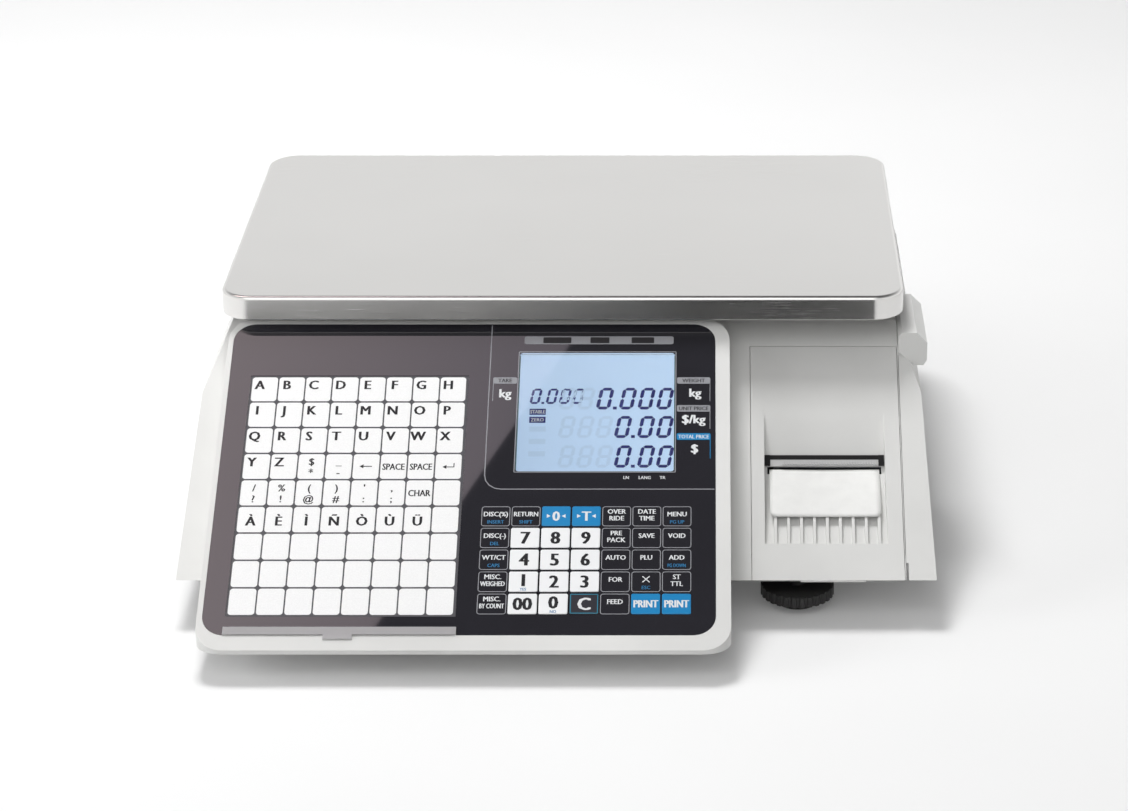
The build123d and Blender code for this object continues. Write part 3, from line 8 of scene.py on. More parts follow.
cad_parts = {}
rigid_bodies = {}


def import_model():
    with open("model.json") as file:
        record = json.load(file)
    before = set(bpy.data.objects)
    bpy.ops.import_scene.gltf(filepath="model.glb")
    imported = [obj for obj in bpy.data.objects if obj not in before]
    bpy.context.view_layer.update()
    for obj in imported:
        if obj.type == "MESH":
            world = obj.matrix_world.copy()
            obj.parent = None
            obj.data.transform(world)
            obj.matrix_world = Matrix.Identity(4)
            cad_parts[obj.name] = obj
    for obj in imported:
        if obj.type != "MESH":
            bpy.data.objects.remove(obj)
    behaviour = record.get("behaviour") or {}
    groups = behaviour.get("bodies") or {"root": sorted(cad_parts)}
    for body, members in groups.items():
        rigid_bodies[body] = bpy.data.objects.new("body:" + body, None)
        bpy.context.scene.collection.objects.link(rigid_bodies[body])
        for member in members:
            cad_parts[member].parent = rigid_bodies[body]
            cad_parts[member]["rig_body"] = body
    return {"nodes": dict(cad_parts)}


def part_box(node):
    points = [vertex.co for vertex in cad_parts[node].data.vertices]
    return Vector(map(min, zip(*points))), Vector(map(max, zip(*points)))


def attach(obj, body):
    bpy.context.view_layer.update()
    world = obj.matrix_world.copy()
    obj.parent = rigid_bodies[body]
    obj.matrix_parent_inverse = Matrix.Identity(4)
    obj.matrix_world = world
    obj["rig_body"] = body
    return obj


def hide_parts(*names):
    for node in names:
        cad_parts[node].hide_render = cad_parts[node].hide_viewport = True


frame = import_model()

bl_info = {
    "name": "Retail price scale",
    "version": (1, 0, 0),
    "blender": (4, 5, 0),
    "location": "3D View > Sidebar > Price scale",
    "description": "Dresses the price scale's pieces in their finishes, legends and stage",
    "category": "Object",
}

MM = 0.001
NODES = frame["nodes"]

# ---------------------------------------------------------------- where things lie
PANEL_SLOPE = math.radians(29.5)
FILM_THICKNESS = 0.6 * MM
film_low, film_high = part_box("keypad_overlay")
PANEL_RIGHT = Vector((1, 0, 0))
PANEL_UP = Vector((0, math.cos(PANEL_SLOPE), math.sin(PANEL_SLOPE)))
PANEL_OUT = Vector((0, -math.sin(PANEL_SLOPE), math.cos(PANEL_SLOPE)))
FILM_BACK = film_high.y - FILM_THICKNESS * math.sin(PANEL_SLOPE)
PANEL_CORNER = Vector((film_low.x, FILM_BACK, film_high.z))
PRINT = 0.05  # mm that a printed legend stands over its surface
DIGIT_DEPTH = 1.86  # mm from the film down to the display digits
EYE = Vector((0.0803, -1.6854, 0.7846))
KEY_U, KEY_W = 143.0, 125.0
KEY_PITCH_U, KEY_PITCH_W = 16.13, 14.05
KEY_WIDTH, KEY_LENGTH = 15.2, 12.8
KEY_PROUD = 0.3


def lying(spot, up, out):
    """The matrix of a flat place: x to the right, y up the slope and z out of it."""
    return Matrix.Translation(spot) @ Matrix((PANEL_RIGHT, up, out)).transposed().to_4x4()


def on_panel(u, w, height=0.0):
    """A place on the console, u mm across and w mm down from its top left corner."""
    spot = PANEL_CORNER + (PANEL_RIGHT * u - PANEL_UP * w + PANEL_OUT * height) * MM
    return lying(spot, PANEL_UP, PANEL_OUT)


def key_place(column, row, height=0.0):
    """The middle of a key of the function pad."""
    u = KEY_U + column * KEY_PITCH_U + KEY_WIDTH / 2
    return on_panel(u, KEY_W + row * KEY_PITCH_W + KEY_LENGTH / 2, height)


def tint(red, green, blue):
    """A colour given as everyday 0 to 255 numbers, as Blender's linear one."""
    shades = (red, green, blue)
    return tuple(((c / 255 + 0.055) / 1.055) ** 2.4 if c > 10 else c / 3295 for c in shades)


# ---------------------------------------------------------------- settings
def colour(name, text, value):
    limits = {"subtype": "COLOR", "min": 0, "max": 1}
    return bpy.props.FloatVectorProperty(name=name, description=text, default=value, **limits)


def length(name, text, value):
    limits = {"unit": "LENGTH", "min": 0}
    return bpy.props.FloatProperty(name=name, description=text, default=value * MM, **limits)


class ScaleColours(bpy.types.PropertyGroup):
    casing: colour("Casing", "Moulded housing, console and printer cover", tint(224, 224, 222))
    tray: colour("Base tray", "Moulded tray under the housing", tint(196, 196, 194))
    film: colour("Panel film", "Dark glossy film of the keyboard", tint(37, 36, 42))
    steel: colour("Platter steel", "Brushed stainless sheet", tint(231, 230, 228))
    blue: colour("Blue keys", "Zero, tare and print keys and the blue tag", tint(22, 130, 188))
    legend: colour("White legends", "Words printed on the film", tint(226, 228, 230))
    sublegend: colour("Blue legends", "Second words printed on the film", tint(46, 120, 168))
    backlight: colour("Display light", "Lit ground of the display", tint(184, 209, 236))
    segment: colour("Segments", "Digits of the display", tint(42, 44, 128))


class ScaleSizes(bpy.types.PropertyGroup):
    moulding_edge: length("Moulded edge", "Rounding of the casings' edges", 0.55)
    sheet_edge: length("Sheet edge", "Rounding of the platter's folded edges", 0.9)
    key_edge: length("Key edge", "Rounding of the key caps", 0.25)
    preset_width: length("Preset key width", "One printed preset key", 14.0)
    preset_height: length("Preset key height", "One printed preset key", 16.5)
    preset_pitch_u: length("Preset key pitch across", "Distance between preset keys", 14.82)
    preset_pitch_w: length("Preset key pitch down", "Distance between preset keys", 17.55)
    preset_corner: length("Preset key corner", "Corner radius of a preset key", 1.7)
    outline: length("Key outline", "Width of a membrane key's printed line", 0.42)
    bar_tooth: length("Bar tooth", "Pitch of the tearing bar's teeth", 1.5)


def colours():
    return bpy.context.scene.scale_colours


def sizes():
    return bpy.context.scene.scale_sizes


# ---------------------------------------------------------------- materials
class Value:
    """A node's output. Expressions on it add Math nodes."""

    def __init__(self, recipe, socket):
        self.recipe, self.socket = recipe, socket

    def math(self, operation, *terms):
        return self.recipe.add("ShaderNodeMath", {"operation": operation}, terms)

    def __add__(self, other):
        return self.math("ADD", self, other)

    def __mul__(self, other):
        return self.math("MULTIPLY", self, other)

    def __sub__(self, other):
        return self.math("SUBTRACT", self, other)

    __radd__, __rmul__ = __add__, __mul__


class Recipe:
    """A material under construction. Values that don't vary sit on the shader's own sockets."""

    def __init__(self, name, **constants):
        self.material = bpy.data.materials.new(name)
        self.material.use_nodes = True
        self.tree = self.material.node_tree
        self.shader = self.tree.nodes["Principled BSDF"]
        self.feed(**constants)
        self.place = self.add("ShaderNodeTexCoord", output="Object")

    def put(self, socket, value):
        if isinstance(value, Value):
            self.tree.links.new(value.socket, socket)
        elif socket.type == "RGBA":
            socket.default_value = (*value, 1.0)
        else:
            socket.default_value = value

    def add(self, kind, settings=None, inputs=(), output=0):
        node = self.tree.nodes.new(kind)
        for name, value in (settings or {}).items():
            setattr(node, name, value)
        for socket, value in inputs.items() if isinstance(inputs, dict) else enumerate(inputs):
            self.put(node.inputs[socket], value)
        return Value(self, node.outputs[output])

    def feed(self, **sockets):
        for name, value in sockets.items():
            self.put(self.shader.inputs[name.replace("_", " ")], value)
        return self.material

    def stretched(self, across, along, up, turn=(0, 0, 0)):
        inputs = {"Vector": self.place, "Scale": (across, along, up), "Rotation": turn}
        return self.add("ShaderNodeMapping", {}, inputs)

    def noise(self, scale, detail=3.0, rough=0.55, where=None):
        inputs = {"Vector": where or self.place, "Scale": scale, "Detail": detail, "Roughness": rough}
        return self.add("ShaderNodeTexNoise", {}, inputs)

    def cells(self, scale):
        return self.add("ShaderNodeTexVoronoi", {}, {"Vector": self.place, "Scale": scale})

    def ramp(self, value, low, high, start=0.0, end=1.0):
        limits = {"Value": value, "From Min": low, "From Max": high, "To Min": start, "To Max": end}
        return self.add("ShaderNodeMapRange", {"clamp": True}, limits)

    def blend(self, factor, first, second):
        return self.add("ShaderNodeMix", {"data_type": "RGBA"}, {0: factor, 6: first, 7: second}, 2)

    def bump(self, height, distance, strength=0.5):
        inputs = {"Height": height, "Distance": distance, "Strength": strength}
        return self.add("ShaderNodeBump", {}, inputs)


def darker(shade, amount):
    return tuple(channel * amount for channel in shade)


def moulded(name, shade, rough, grain=0.03):
    """Injection-moulded plastic: fine spark texture, faint flow marks and handling marks."""
    recipe = Recipe(name, Specular_IOR_Level=0.45)
    flow = recipe.noise(9, 4)
    rubbed = recipe.ramp(recipe.noise(45, 5, 0.65), 0.52, 0.75)
    spark = recipe.noise(2600, 2)
    tone = recipe.blend(recipe.ramp(flow, 0.35, 0.7), darker(shade, 0.9), shade)
    return recipe.feed(
        Base_Color=recipe.blend(rubbed * 0.25, tone, darker(shade, 0.93)),
        Roughness=rough + recipe.ramp(flow, 0.3, 0.7, -0.03, 0.03) - rubbed * 0.06,
        Normal=recipe.bump(spark, grain * MM),
    )


def brushed(name, shade, rough, across=25.0, along=3600.0, up=3600.0):
    """Brushed or drawn metal: long fine lines with wiped smears."""
    recipe = Recipe(name, Metallic=1.0)
    lines = recipe.noise(1, 4, 0.6, recipe.stretched(across, along, up))
    smear = recipe.ramp(recipe.noise(7, 4), 0.35, 0.7)
    return recipe.feed(
        Base_Color=recipe.blend(recipe.ramp(lines, 0.3, 0.7), darker(shade, 0.93), shade),
        Roughness=rough + recipe.ramp(lines, 0.3, 0.7, -0.03, 0.03) + smear * 0.03,
        Normal=recipe.bump(lines, 0.0015 * MM, 0.2),
    )


def cast(name, shade):
    """Sand or die casting: pitted, slightly blotched metal."""
    recipe = Recipe(name, Metallic=0.85)
    skin = recipe.noise(420, 5, 0.6)
    pits = recipe.ramp(recipe.cells(900), 0.0, 0.25)
    return recipe.feed(
        Base_Color=recipe.blend(recipe.ramp(skin, 0.35, 0.65), darker(shade, 0.82), shade),
        Roughness=0.5 + recipe.ramp(skin, 0.3, 0.7, -0.08, 0.08),
        Normal=recipe.bump(skin * 0.7 + pits * 0.3, 0.08 * MM),
    )


def rubber(name, shade):
    """Moulded rubber: matt, lightly dusted."""
    recipe = Recipe(name, Specular_IOR_Level=0.3)
    dust = recipe.ramp(recipe.noise(160, 6, 0.7), 0.5, 0.75)
    return recipe.feed(
        Base_Color=recipe.blend(dust * 0.35, shade, tuple(c + 0.05 for c in shade)),
        Roughness=0.75 + dust * 0.12,
        Normal=recipe.bump(recipe.noise(1800, 2), 0.05 * MM),
    )


def paper(name, shade):
    """Label paper: fibres and a faint mottle."""
    recipe = Recipe(name, Specular_IOR_Level=0.3)
    fibre = recipe.noise(1, 5, 0.6, recipe.stretched(900, 2600, 900))
    mottle = recipe.ramp(recipe.noise(120, 4), 0.35, 0.7)
    return recipe.feed(
        Base_Color=recipe.blend(mottle, darker(shade, 0.95), shade),
        Roughness=0.62 + recipe.ramp(fibre, 0.3, 0.7, -0.06, 0.06),
        Normal=recipe.bump(fibre, 0.02 * MM),
    )


def ink(name, shade, rough=0.35):
    """Screen-printed ink, a little uneven."""
    recipe = Recipe(name, Specular_IOR_Level=0.4)
    grain = recipe.noise(1500, 3)
    return recipe.feed(
        Base_Color=recipe.blend(recipe.ramp(grain, 0.35, 0.7), darker(shade, 0.93), shade),
        Roughness=rough + recipe.ramp(grain, 0.3, 0.7, -0.05, 0.05),
    )


def glossy_film(name, shade):
    """Glossy keyboard film: faint ripple, fingertip smudges and hairline scratches."""
    recipe = Recipe(name, Specular_IOR_Level=0.55, Coat_Weight=0.35, Coat_Roughness=0.02)
    ripple = recipe.noise(28, 2)
    smudge = recipe.ramp(recipe.noise(60, 6, 0.7), 0.55, 0.8)
    hair = recipe.noise(1, 3, 0.6, recipe.stretched(120, 2600, 900, (0, 0, 0.5)))
    scratches = recipe.ramp(hair, 0.66, 0.72)
    return recipe.feed(
        Base_Color=recipe.blend(recipe.ramp(ripple, 0.3, 0.7), darker(shade, 0.88), shade),
        Roughness=0.025 + smudge * 0.03 + scratches * 0.03,
        Normal=recipe.bump(ripple, 0.004 * MM, 0.3),
    )


def clear(name, shade, rough, through=1.0):
    """Clear plastic or glass with light haze where it has been wiped."""
    recipe = Recipe(name, Transmission_Weight=through, IOR=1.46)
    haze = recipe.ramp(recipe.noise(90, 5, 0.7), 0.5, 0.8)
    tone = recipe.blend(haze * 0.3, shade, darker(shade, 0.96))
    return recipe.feed(Base_Color=tone, Roughness=rough + haze * 0.05)


def lit_ground(name, shade, strength, dim=1.0):
    """Backlit display ground: brighter to the right, with the fine dot grid of the glass."""
    shade = darker(shade, dim)
    recipe = Recipe(name, Roughness=0.35, Emission_Strength=strength)
    low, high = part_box("operator_lcd")
    parts = recipe.add("ShaderNodeSeparateXYZ", {}, [recipe.place], "X")
    rise = recipe.ramp(parts, low.x, high.x)
    fade = recipe.ramp(recipe.noise(14, 2), 0.3, 0.7)
    grid = recipe.ramp(recipe.cells(1400), 0.0, 0.5, 0.94, 1.0)
    bright = tuple(min(1, c * 1.15 + 0.05) for c in shade)
    glow = recipe.blend(rise * 0.65 + fade * 0.2, darker(shade, 0.9), bright)
    even = recipe.blend(grid, darker(shade, 0.75), glow)
    return recipe.feed(Base_Color=darker(shade, 0.12), Emission_Color=even)


def circuit(name, shade):
    """Printed circuit board: solder-mask green with track relief."""
    recipe = Recipe(name, Specular_IOR_Level=0.5)
    inputs = {"Vector": recipe.place, "Scale": 60, "Color1": (0, 0, 0), "Color2": (1, 1, 1)}
    inputs["Mortar"] = (0.5, 0.5, 0.5)
    tracks = recipe.add("ShaderNodeTexBrick", {"offset": 0.5}, inputs, "Fac")
    mottle = recipe.ramp(recipe.noise(200, 4), 0.3, 0.7)
    base = recipe.blend(mottle, darker(shade, 0.8), shade)
    return recipe.feed(
        Base_Color=recipe.blend(tracks * 0.6, base, tuple(min(1, c * 1.8) for c in shade)),
        Roughness=0.32 + mottle * 0.08,
        Normal=recipe.bump(tracks, 0.05 * MM, 0.4),
    )


def key_cap(name, shade):
    """Domed clear lacquer over a printed key."""
    recipe = Recipe(name, Coat_Weight=0.4, Coat_Roughness=0.12, Specular_IOR_Level=0.5)
    touch = recipe.ramp(recipe.noise(70, 5, 0.65), 0.5, 0.8)
    return recipe.feed(
        Base_Color=recipe.blend(touch * 0.4, shade, darker(shade, 0.94)),
        Roughness=0.3 + touch * 0.08,
        Normal=recipe.bump(recipe.noise(900, 2), 0.012 * MM),
    )


# slot: (recipe, material's name, shade or the setting that holds it, what else the recipe takes)
FINISHES = {
    "casing": (moulded, "casing_plastic", "casing", 0.44),
    "tray_plastic": (moulded, "tray_moulding", "tray", 0.5, 0.05),
    "platter_steel": (brushed, "brushed_platter", "steel", 0.23),
    "cast_alloy": (cast, "cast_alloy_skin", (150, 152, 154)),
    "bright_steel": (brushed, "plated_steel", (188, 188, 184), 0.3, 400, 400, 900),
    "printer_black": (moulded, "printer_moulding", (38, 38, 41), 0.48, 0.04),
    "head_alloy": (brushed, "head_sheet", (160, 162, 166), 0.33, 900, 120, 900),
    "roller_rubber": (rubber, "platen_rubber", (46, 46, 48)),
    "lever_green": (moulded, "release_lever_green", (38, 128, 78), 0.4),
    "pad_rubber": (rubber, "platter_pad_rubber", (34, 34, 36)),
    "overlay_film": (glossy_film, "panel_film", "film"),
    "key_sheet": (ink, "key_sheet_ground", (84, 84, 88), 0.4),
    "clear_plastic": (clear, "clear_strip", (206, 204, 206), 0.3, 0.45),
    "display_glass": (clear, "display_glass_clear", (246, 249, 252), 0.02),
    "lcd_panel": (lit_ground, "display_ground", "backlight", 0.92),
    "circuit_board": (circuit, "board_green", (22, 84, 52)),
    "label_paper": (paper, "label_stock", (238, 238, 236)),
    "foot_plastic": (moulded, "foot_wheel_black", (40, 39, 39), 0.45, 0.05),
    "foot_rubber": (rubber, "foot_pad_black", (28, 28, 28)),
    "key_white": (key_cap, "white_key", (238, 239, 240)),
    "key_blue": (key_cap, "blue_key", "blue"),
    "key_dark": (key_cap, "dark_key", (44, 45, 52)),
    "bar_white": (moulded, "toothed_bar", (200, 200, 200), 0.35, 0.02),
    # slot_black is painted shade where it covers the printer's open slot gap, and the real black plastic of
    # the slot's end blocks
    "slot_black": (moulded, "slot_black_plastic", (16, 16, 17), 0.55, 0.02),
    "preset_white": (ink, "preset_key_white", (243, 243, 243), 0.42),
    "white_ink": (ink, "white_legend", "legend"),
    "blue_ink": (ink, "blue_legend", "sublegend"),
    "bright_blue_ink": (ink, "blue_tag", "blue"),
    "dark_ink": (ink, "dark_legend", (34, 34, 37)),
    "grey_ink": (ink, "grey_line", (150, 151, 156)),
    "teal_ink": (ink, "teal_outline", (52, 140, 168)),
    "segment_ink": (ink, "display_segment", "segment", 0.3),
    "ghost_ink": (lit_ground, "display_ghost", "backlight", 0.88, 0.93),
}
made = {}


def finish(slot):
    """The material of a slot, made when it is first asked for."""
    if slot not in made:
        recipe, name, shade, *rest = FINISHES[slot]
        picked = getattr(colours(), shade) if isinstance(shade, str) else tint(*shade)
        made[slot] = recipe(name, tuple(picked), *rest)
    return made[slot]


# ---------------------------------------------------------------- pieces
def dress(slot, *nodes):
    """Gives CAD nodes their finish."""
    for node in nodes:
        piece = NODES[node]
        piece.data.materials.clear()
        piece.data.materials.append(finish(slot))


def new_piece(name, mesh, slot, body):
    """A finished mesh as a piece that rides on a body."""
    piece = bpy.data.objects.new(name, mesh)
    bpy.context.scene.collection.objects.link(piece)
    mesh.materials.clear()
    mesh.materials.append(finish(slot))
    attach(piece, body)
    return piece


def soften(node, slot, width, segments=2):
    """A merged copy of a CAD node with rounded edges, which stands for it."""
    sharp = math.radians(32)
    shell = bmesh.new()
    shell.from_mesh(NODES[node].data)
    bmesh.ops.remove_doubles(shell, verts=shell.verts, dist=2e-6)
    bmesh.ops.dissolve_limit(
        shell, angle_limit=math.radians(0.6), verts=shell.verts, edges=shell.edges, delimit={"NORMAL"}
    )
    mesh = bpy.data.meshes.new(f"{node}_shell")
    shell.to_mesh(mesh)
    shell.free()
    for attribute in [a for a in mesh.attributes if a.name == "custom_normal"]:
        mesh.attributes.remove(attribute)
    mesh.shade_smooth()
    mesh.set_sharp_from_angle(angle=sharp)
    piece = new_piece(f"{node}_shell", mesh, slot, NODES[node]["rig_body"])
    edge = piece.modifiers.new("Edge", "BEVEL")
    edge.width, edge.segments, edge.limit_method = width, segments, "ANGLE"
    edge.angle_limit = sharp
    even = piece.modifiers.new("Even", "WEIGHTED_NORMAL")
    even.keep_sharp = True
    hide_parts(node)
    return piece


CONDENSED = 0.9  # width of the lettering against the typeface's own


def text_mesh(words, cap, limit):
    """Flat lettering of a cap height, in mm, squeezed into a width if it has one."""
    letters = bpy.data.curves.new("letters", "FONT")
    letters.body, letters.size, letters.align_x = words, cap / 0.7 * MM, "CENTER"
    letters.resolution_u = 2
    holder = bpy.data.objects.new("letters", letters)
    mesh = bpy.data.meshes.new_from_object(holder)
    bpy.data.objects.remove(holder)
    bpy.data.curves.remove(letters)
    if mesh.vertices:
        wide = max(v.co.x for v in mesh.vertices) - min(v.co.x for v in mesh.vertices)
        squeeze = min(CONDENSED, limit * MM / wide) if limit else CONDENSED
        mesh.transform(Matrix.Diagonal((squeeze, 1, 1, 1)))
    return mesh


class Artwork:
    """Printed shapes of one ink on one body, gathered into one piece."""

    def __init__(self, name, slot, body="chassis"):
        self.name, self.slot, self.body = name, slot, body
        self.shapes = bmesh.new()

    def letter(self, place, words, cap, limit=None, bold=0.03, drop=0.0):
        """Words centred on a place, or drop mm below it, thickened by close copies."""
        for index, aside in enumerate((0.0, -bold, bold)):
            mesh = text_mesh(words, cap, limit)
            spot = (aside * cap * MM, -(drop + cap / 2) * MM, -0.004 * index * MM)
            mesh.transform(place @ Matrix.Translation(spot))
            self.shapes.from_mesh(mesh)
            bpy.data.meshes.remove(mesh)
        return self

    def outline(self, place, points):
        """A filled shape from points in mm, x to the right and y up, that faces out of its place."""
        sides = zip(points, points[1:] + points[:1])
        turn = sum(x * after_y - after_x * y for (x, y), (after_x, after_y) in sides)
        ordered = points if turn > 0 else points[::-1]
        spots = [place @ Vector((x * MM, y * MM, 0)) for x, y in ordered]
        self.shapes.faces.new([self.shapes.verts.new(spot) for spot in spots])
        return self

    def ring(self, place, corners, width):
        """Four lines from corner to corner."""
        for first, second in zip(corners, corners[1:] + corners[:1]):
            self.stroke(place, [first, second], width)

    def block(self, place, left, top, right, bottom, radius=0.0):
        """A filled rectangle with rounded corners; y runs down from the place."""
        if not radius:
            points = [(left, -bottom), (right, -bottom), (right, -top), (left, -top)]
            return self.outline(place, points)
        centres = [(right - radius, -top - radius), (left + radius, -top - radius)]
        centres += [(left + radius, -bottom + radius), (right - radius, -bottom + radius)]
        points = []
        for quarter, (x, y) in enumerate(centres):
            for step in range(5):
                angle = math.pi / 2 * (quarter + step / 4)
                points.append((x + radius * math.cos(angle), y + radius * math.sin(angle)))
        return self.outline(place, points)

    def stroke(self, place, path, width):
        """A line of one width along points in mm."""
        spots = [Vector(point) for point in path]
        sides = []
        for index, spot in enumerate(spots):
            before, after = spots[max(index - 1, 0)], spots[min(index + 1, len(spots) - 1)]
            along = (after - before).normalized()
            across = Vector((-along.y, along.x)) * width / 2
            sides.append((spot + across, spot - across))
        for (left, right), (next_left, next_right) in zip(sides, sides[1:]):
            self.outline(place, [left, right, next_right, next_left])
        return self

    def done(self):
        mesh = bpy.data.meshes.new(self.name)
        self.shapes.to_mesh(mesh)
        self.shapes.free()
        return new_piece(self.name, mesh, self.slot, self.body)


def repeat_tree(name, slot, build):
    """A Geometry Nodes tree: build(tree, start) returns the points and the shape that stands on them."""
    tree = bpy.data.node_groups.new(name, "GeometryNodeTree")
    tree.interface.new_socket("Geometry", in_out="INPUT", socket_type="NodeSocketGeometry")
    start = tree.nodes.new("NodeGroupInput")
    points, shape = build(tree, start)
    spread = tree.nodes.new("GeometryNodeInstanceOnPoints")
    real = tree.nodes.new("GeometryNodeRealizeInstances")
    painted = tree.nodes.new("GeometryNodeSetMaterial")
    painted.inputs["Material"].default_value = finish(slot)
    tree.interface.new_socket("Geometry", in_out="OUTPUT", socket_type="NodeSocketGeometry")
    end = tree.nodes.new("NodeGroupOutput")
    tree.links.new(points, spread.inputs["Points"])
    tree.links.new(shape, spread.inputs["Instance"])
    tree.links.new(spread.outputs[0], real.inputs[0])
    tree.links.new(real.outputs[0], painted.inputs["Geometry"])
    tree.links.new(painted.outputs[0], end.inputs[0])
    return tree


def repeated(name, slot, make_tree, places, values, place):
    """Runs a new tree on points and keeps the result as a plain mesh on the chassis."""
    tree = make_tree(values, name, slot)
    base = bpy.data.meshes.new(name)
    base.from_pydata(places, [], [])
    holder = bpy.data.objects.new(name, base)
    bpy.context.scene.collection.objects.link(holder)
    nodes = holder.modifiers.new("Repeat", "NODES")
    nodes.node_group = tree
    inputs = [item for item in tree.interface.items_tree if item.in_out == "INPUT"]
    identifiers = {item.name: item.identifier for item in inputs}
    for title, value in values.items():
        nodes[identifiers[title]] = value
    shown = holder.evaluated_get(bpy.context.evaluated_depsgraph_get())
    mesh = bpy.data.meshes.new_from_object(shown)
    bpy.data.objects.remove(holder)
    mesh.transform(place)
    return new_piece(name, mesh, slot, "chassis")


def rounded_key(tree, size):
    """A rounded rectangle curve from the named sizes."""
    outline = tree.nodes.new("GeometryNodeCurvePrimitiveQuadrilateral")
    rounding = tree.nodes.new("GeometryNodeFilletCurve")
    rounding.mode = "POLY"
    rounding.inputs["Count"].default_value = 4
    tree.links.new(size["Width"], outline.inputs["Width"])
    tree.links.new(size["Height"], outline.inputs["Height"])
    tree.links.new(outline.outputs[0], rounding.inputs["Curve"])
    tree.links.new(size["Corner"], rounding.inputs["Radius"])
    return rounding.outputs[0]


def named_sizes(tree, start, values):
    """Adds a tree's named sizes, with the ones in use as defaults, and returns their outputs."""
    for title, value in values.items():
        socket = tree.interface.new_socket(title, in_out="INPUT", socket_type="NodeSocketFloat")
        socket.default_value = value
    return {title: start.outputs[title] for title in values}


def preset_tree(values, name, slot):
    """Rounded plates that stand on points."""

    def build(tree, start):
        size = named_sizes(tree, start, values)
        curve = rounded_key(tree, size)
        face = tree.nodes.new("GeometryNodeFillCurve")
        face.mode = "NGONS"
        raised = tree.nodes.new("GeometryNodeExtrudeMesh")
        tree.links.new(curve, face.inputs["Curve"])
        tree.links.new(face.outputs[0], raised.inputs["Mesh"])
        tree.links.new(size["Rise"], raised.inputs["Offset Scale"])
        raised.inputs["Individual"].default_value = False
        return start.outputs["Geometry"], raised.outputs["Mesh"]

    return repeat_tree(name, slot, build)


def outline_tree(values, name, slot):
    """Flat rounded rings round points."""

    def build(tree, start):
        size = named_sizes(tree, start, values)
        curve = rounded_key(tree, size)
        profile = tree.nodes.new("GeometryNodeCurvePrimitiveLine")
        half = tree.nodes.new("ShaderNodeCombineXYZ")
        tree.links.new(size["Line"], half.inputs["X"])
        tree.links.new(half.outputs[0], profile.inputs["End"])
        ring = tree.nodes.new("GeometryNodeCurveToMesh")
        tree.links.new(curve, ring.inputs["Curve"])
        tree.links.new(profile.outputs[0], ring.inputs["Profile Curve"])
        return start.outputs["Geometry"], ring.outputs["Mesh"]

    return repeat_tree(name, slot, build)


# ---------------------------------------------------------------- legends
PRESET_ROWS = ("ABCDEFGH", "IJKLMNOP", "QRSTUVWX")
PRESET_PAIRS = {
    (2, 3): ("$", "*"), (3, 3): ("_", "-"), (0, 4): ("/", "?"), (1, 4): ("%", "!"), (2, 4): ("(", "@"),
    (3, 4): (")", "#"), (4, 4): ("'", ":"), (5, 4): (",", ";"),
}
PRESET_WORDS = {(5, 3): "SPACE", (6, 3): "SPACE", (6, 4): "CHAR"}
ACCENTED = "ÀÈÌÑÒÙÜ"
FILM_KEYS = {
    (0, 0): ("DISC(%)", "INSERT"), (1, 0): ("RETURN", "SHIFT"), (4, 0): ("OVER", "RIDE", ""),
    (5, 0): ("DATE", "TIME", ""), (6, 0): ("MENU", "PG UP"), (0, 1): ("DISC(-)", "DEL"),
    (4, 1): ("PRE", "PACK", ""), (5, 1): ("SAVE", ""), (6, 1): ("VOID", ""), (0, 2): ("WT/CT", "CAPS"),
    (4, 2): ("AUTO", ""), (5, 2): ("PLU", ""), (6, 2): ("ADD", "PG DOWN"), (0, 3): ("MISC.", "WEIGHED", ""),
    (4, 3): ("FOR", ""), (5, 3): ("", "ESC"), (6, 3): ("ST", "TTL", ""), (0, 4): ("MISC.", "BY COUNT", ""),
    (4, 4): ("FEED", ""),
}
CAPS = {f"key_{digit}": str(digit) for digit in range(10)} | {"key_00": "00", "key_clear": "C"}
CAP_PLACES = {
    "key_zero": (2, 0), "key_tare": (3, 0), "key_7": (1, 1), "key_8": (2, 1), "key_9": (3, 1),
    "key_4": (1, 2), "key_5": (2, 2), "key_6": (3, 2), "key_1": (1, 3), "key_2": (2, 3), "key_3": (3, 3),
    "key_00": (1, 4), "key_0": (2, 4), "key_clear": (3, 4), "key_print_left": (5, 4),
    "key_print_right": (6, 4),
}
SEGMENTS = {"0": "abcdef", "8": "abcdefg"}


def segment_shapes(character, tall):
    """The lit bars of one seven-segment digit, in mm from its lower left corner."""
    wide, thick = tall * 0.52, tall * 0.13
    gap = thick * 0.06
    level = {"a": tall - thick / 2, "g": tall / 2, "d": thick / 2}
    shapes = []
    for bar in SEGMENTS[character]:
        if bar in level:
            y, left, right, half = level[bar], thick / 2 + gap, wide - thick / 2 - gap, thick / 2
            lower = [(left, y), (left + half, y - half), (right - half, y - half)]
            shapes.append(lower + [(right, y), (right - half, y + half), (left + half, y + half)])
        else:
            x = thick / 2 if bar in "ef" else wide - thick / 2
            low, high = (thick / 2, tall / 2) if bar in "ce" else (tall / 2, tall - thick / 2)
            low, high, half = low + gap, high - gap, thick / 2
            right = [(x, low), (x + half, low + half), (x + half, high - half)]
            shapes.append(right + [(x, high), (x - half, high - half), (x - half, low + half)])
    lean = math.tan(math.radians(10))
    return [[(x + y * lean, y) for x, y in shape] for shape in shapes]


def number(lit, ghost, right, bottom, tall, digits, decimals, ghosts=0):
    """A seven-segment number that ends at a place on the display, with unlit digits before it."""
    step = tall * 0.68
    place = on_panel(right, bottom, -DIGIT_DEPTH)
    for index in range(digits + ghosts):
        art = lit if index < digits else ghost
        offset = -tall * 0.6 - index * step - (tall * 0.16 if index >= decimals else 0)
        for shape in segment_shapes("0" if index < digits else "8", tall):
            art.outline(place, [(x + offset, y) for x, y in shape])
    point = -decimals * step - tall * 0.02
    lit.block(place, point - tall * 0.1, -tall * 0.13, point + tall * 0.04, 0)


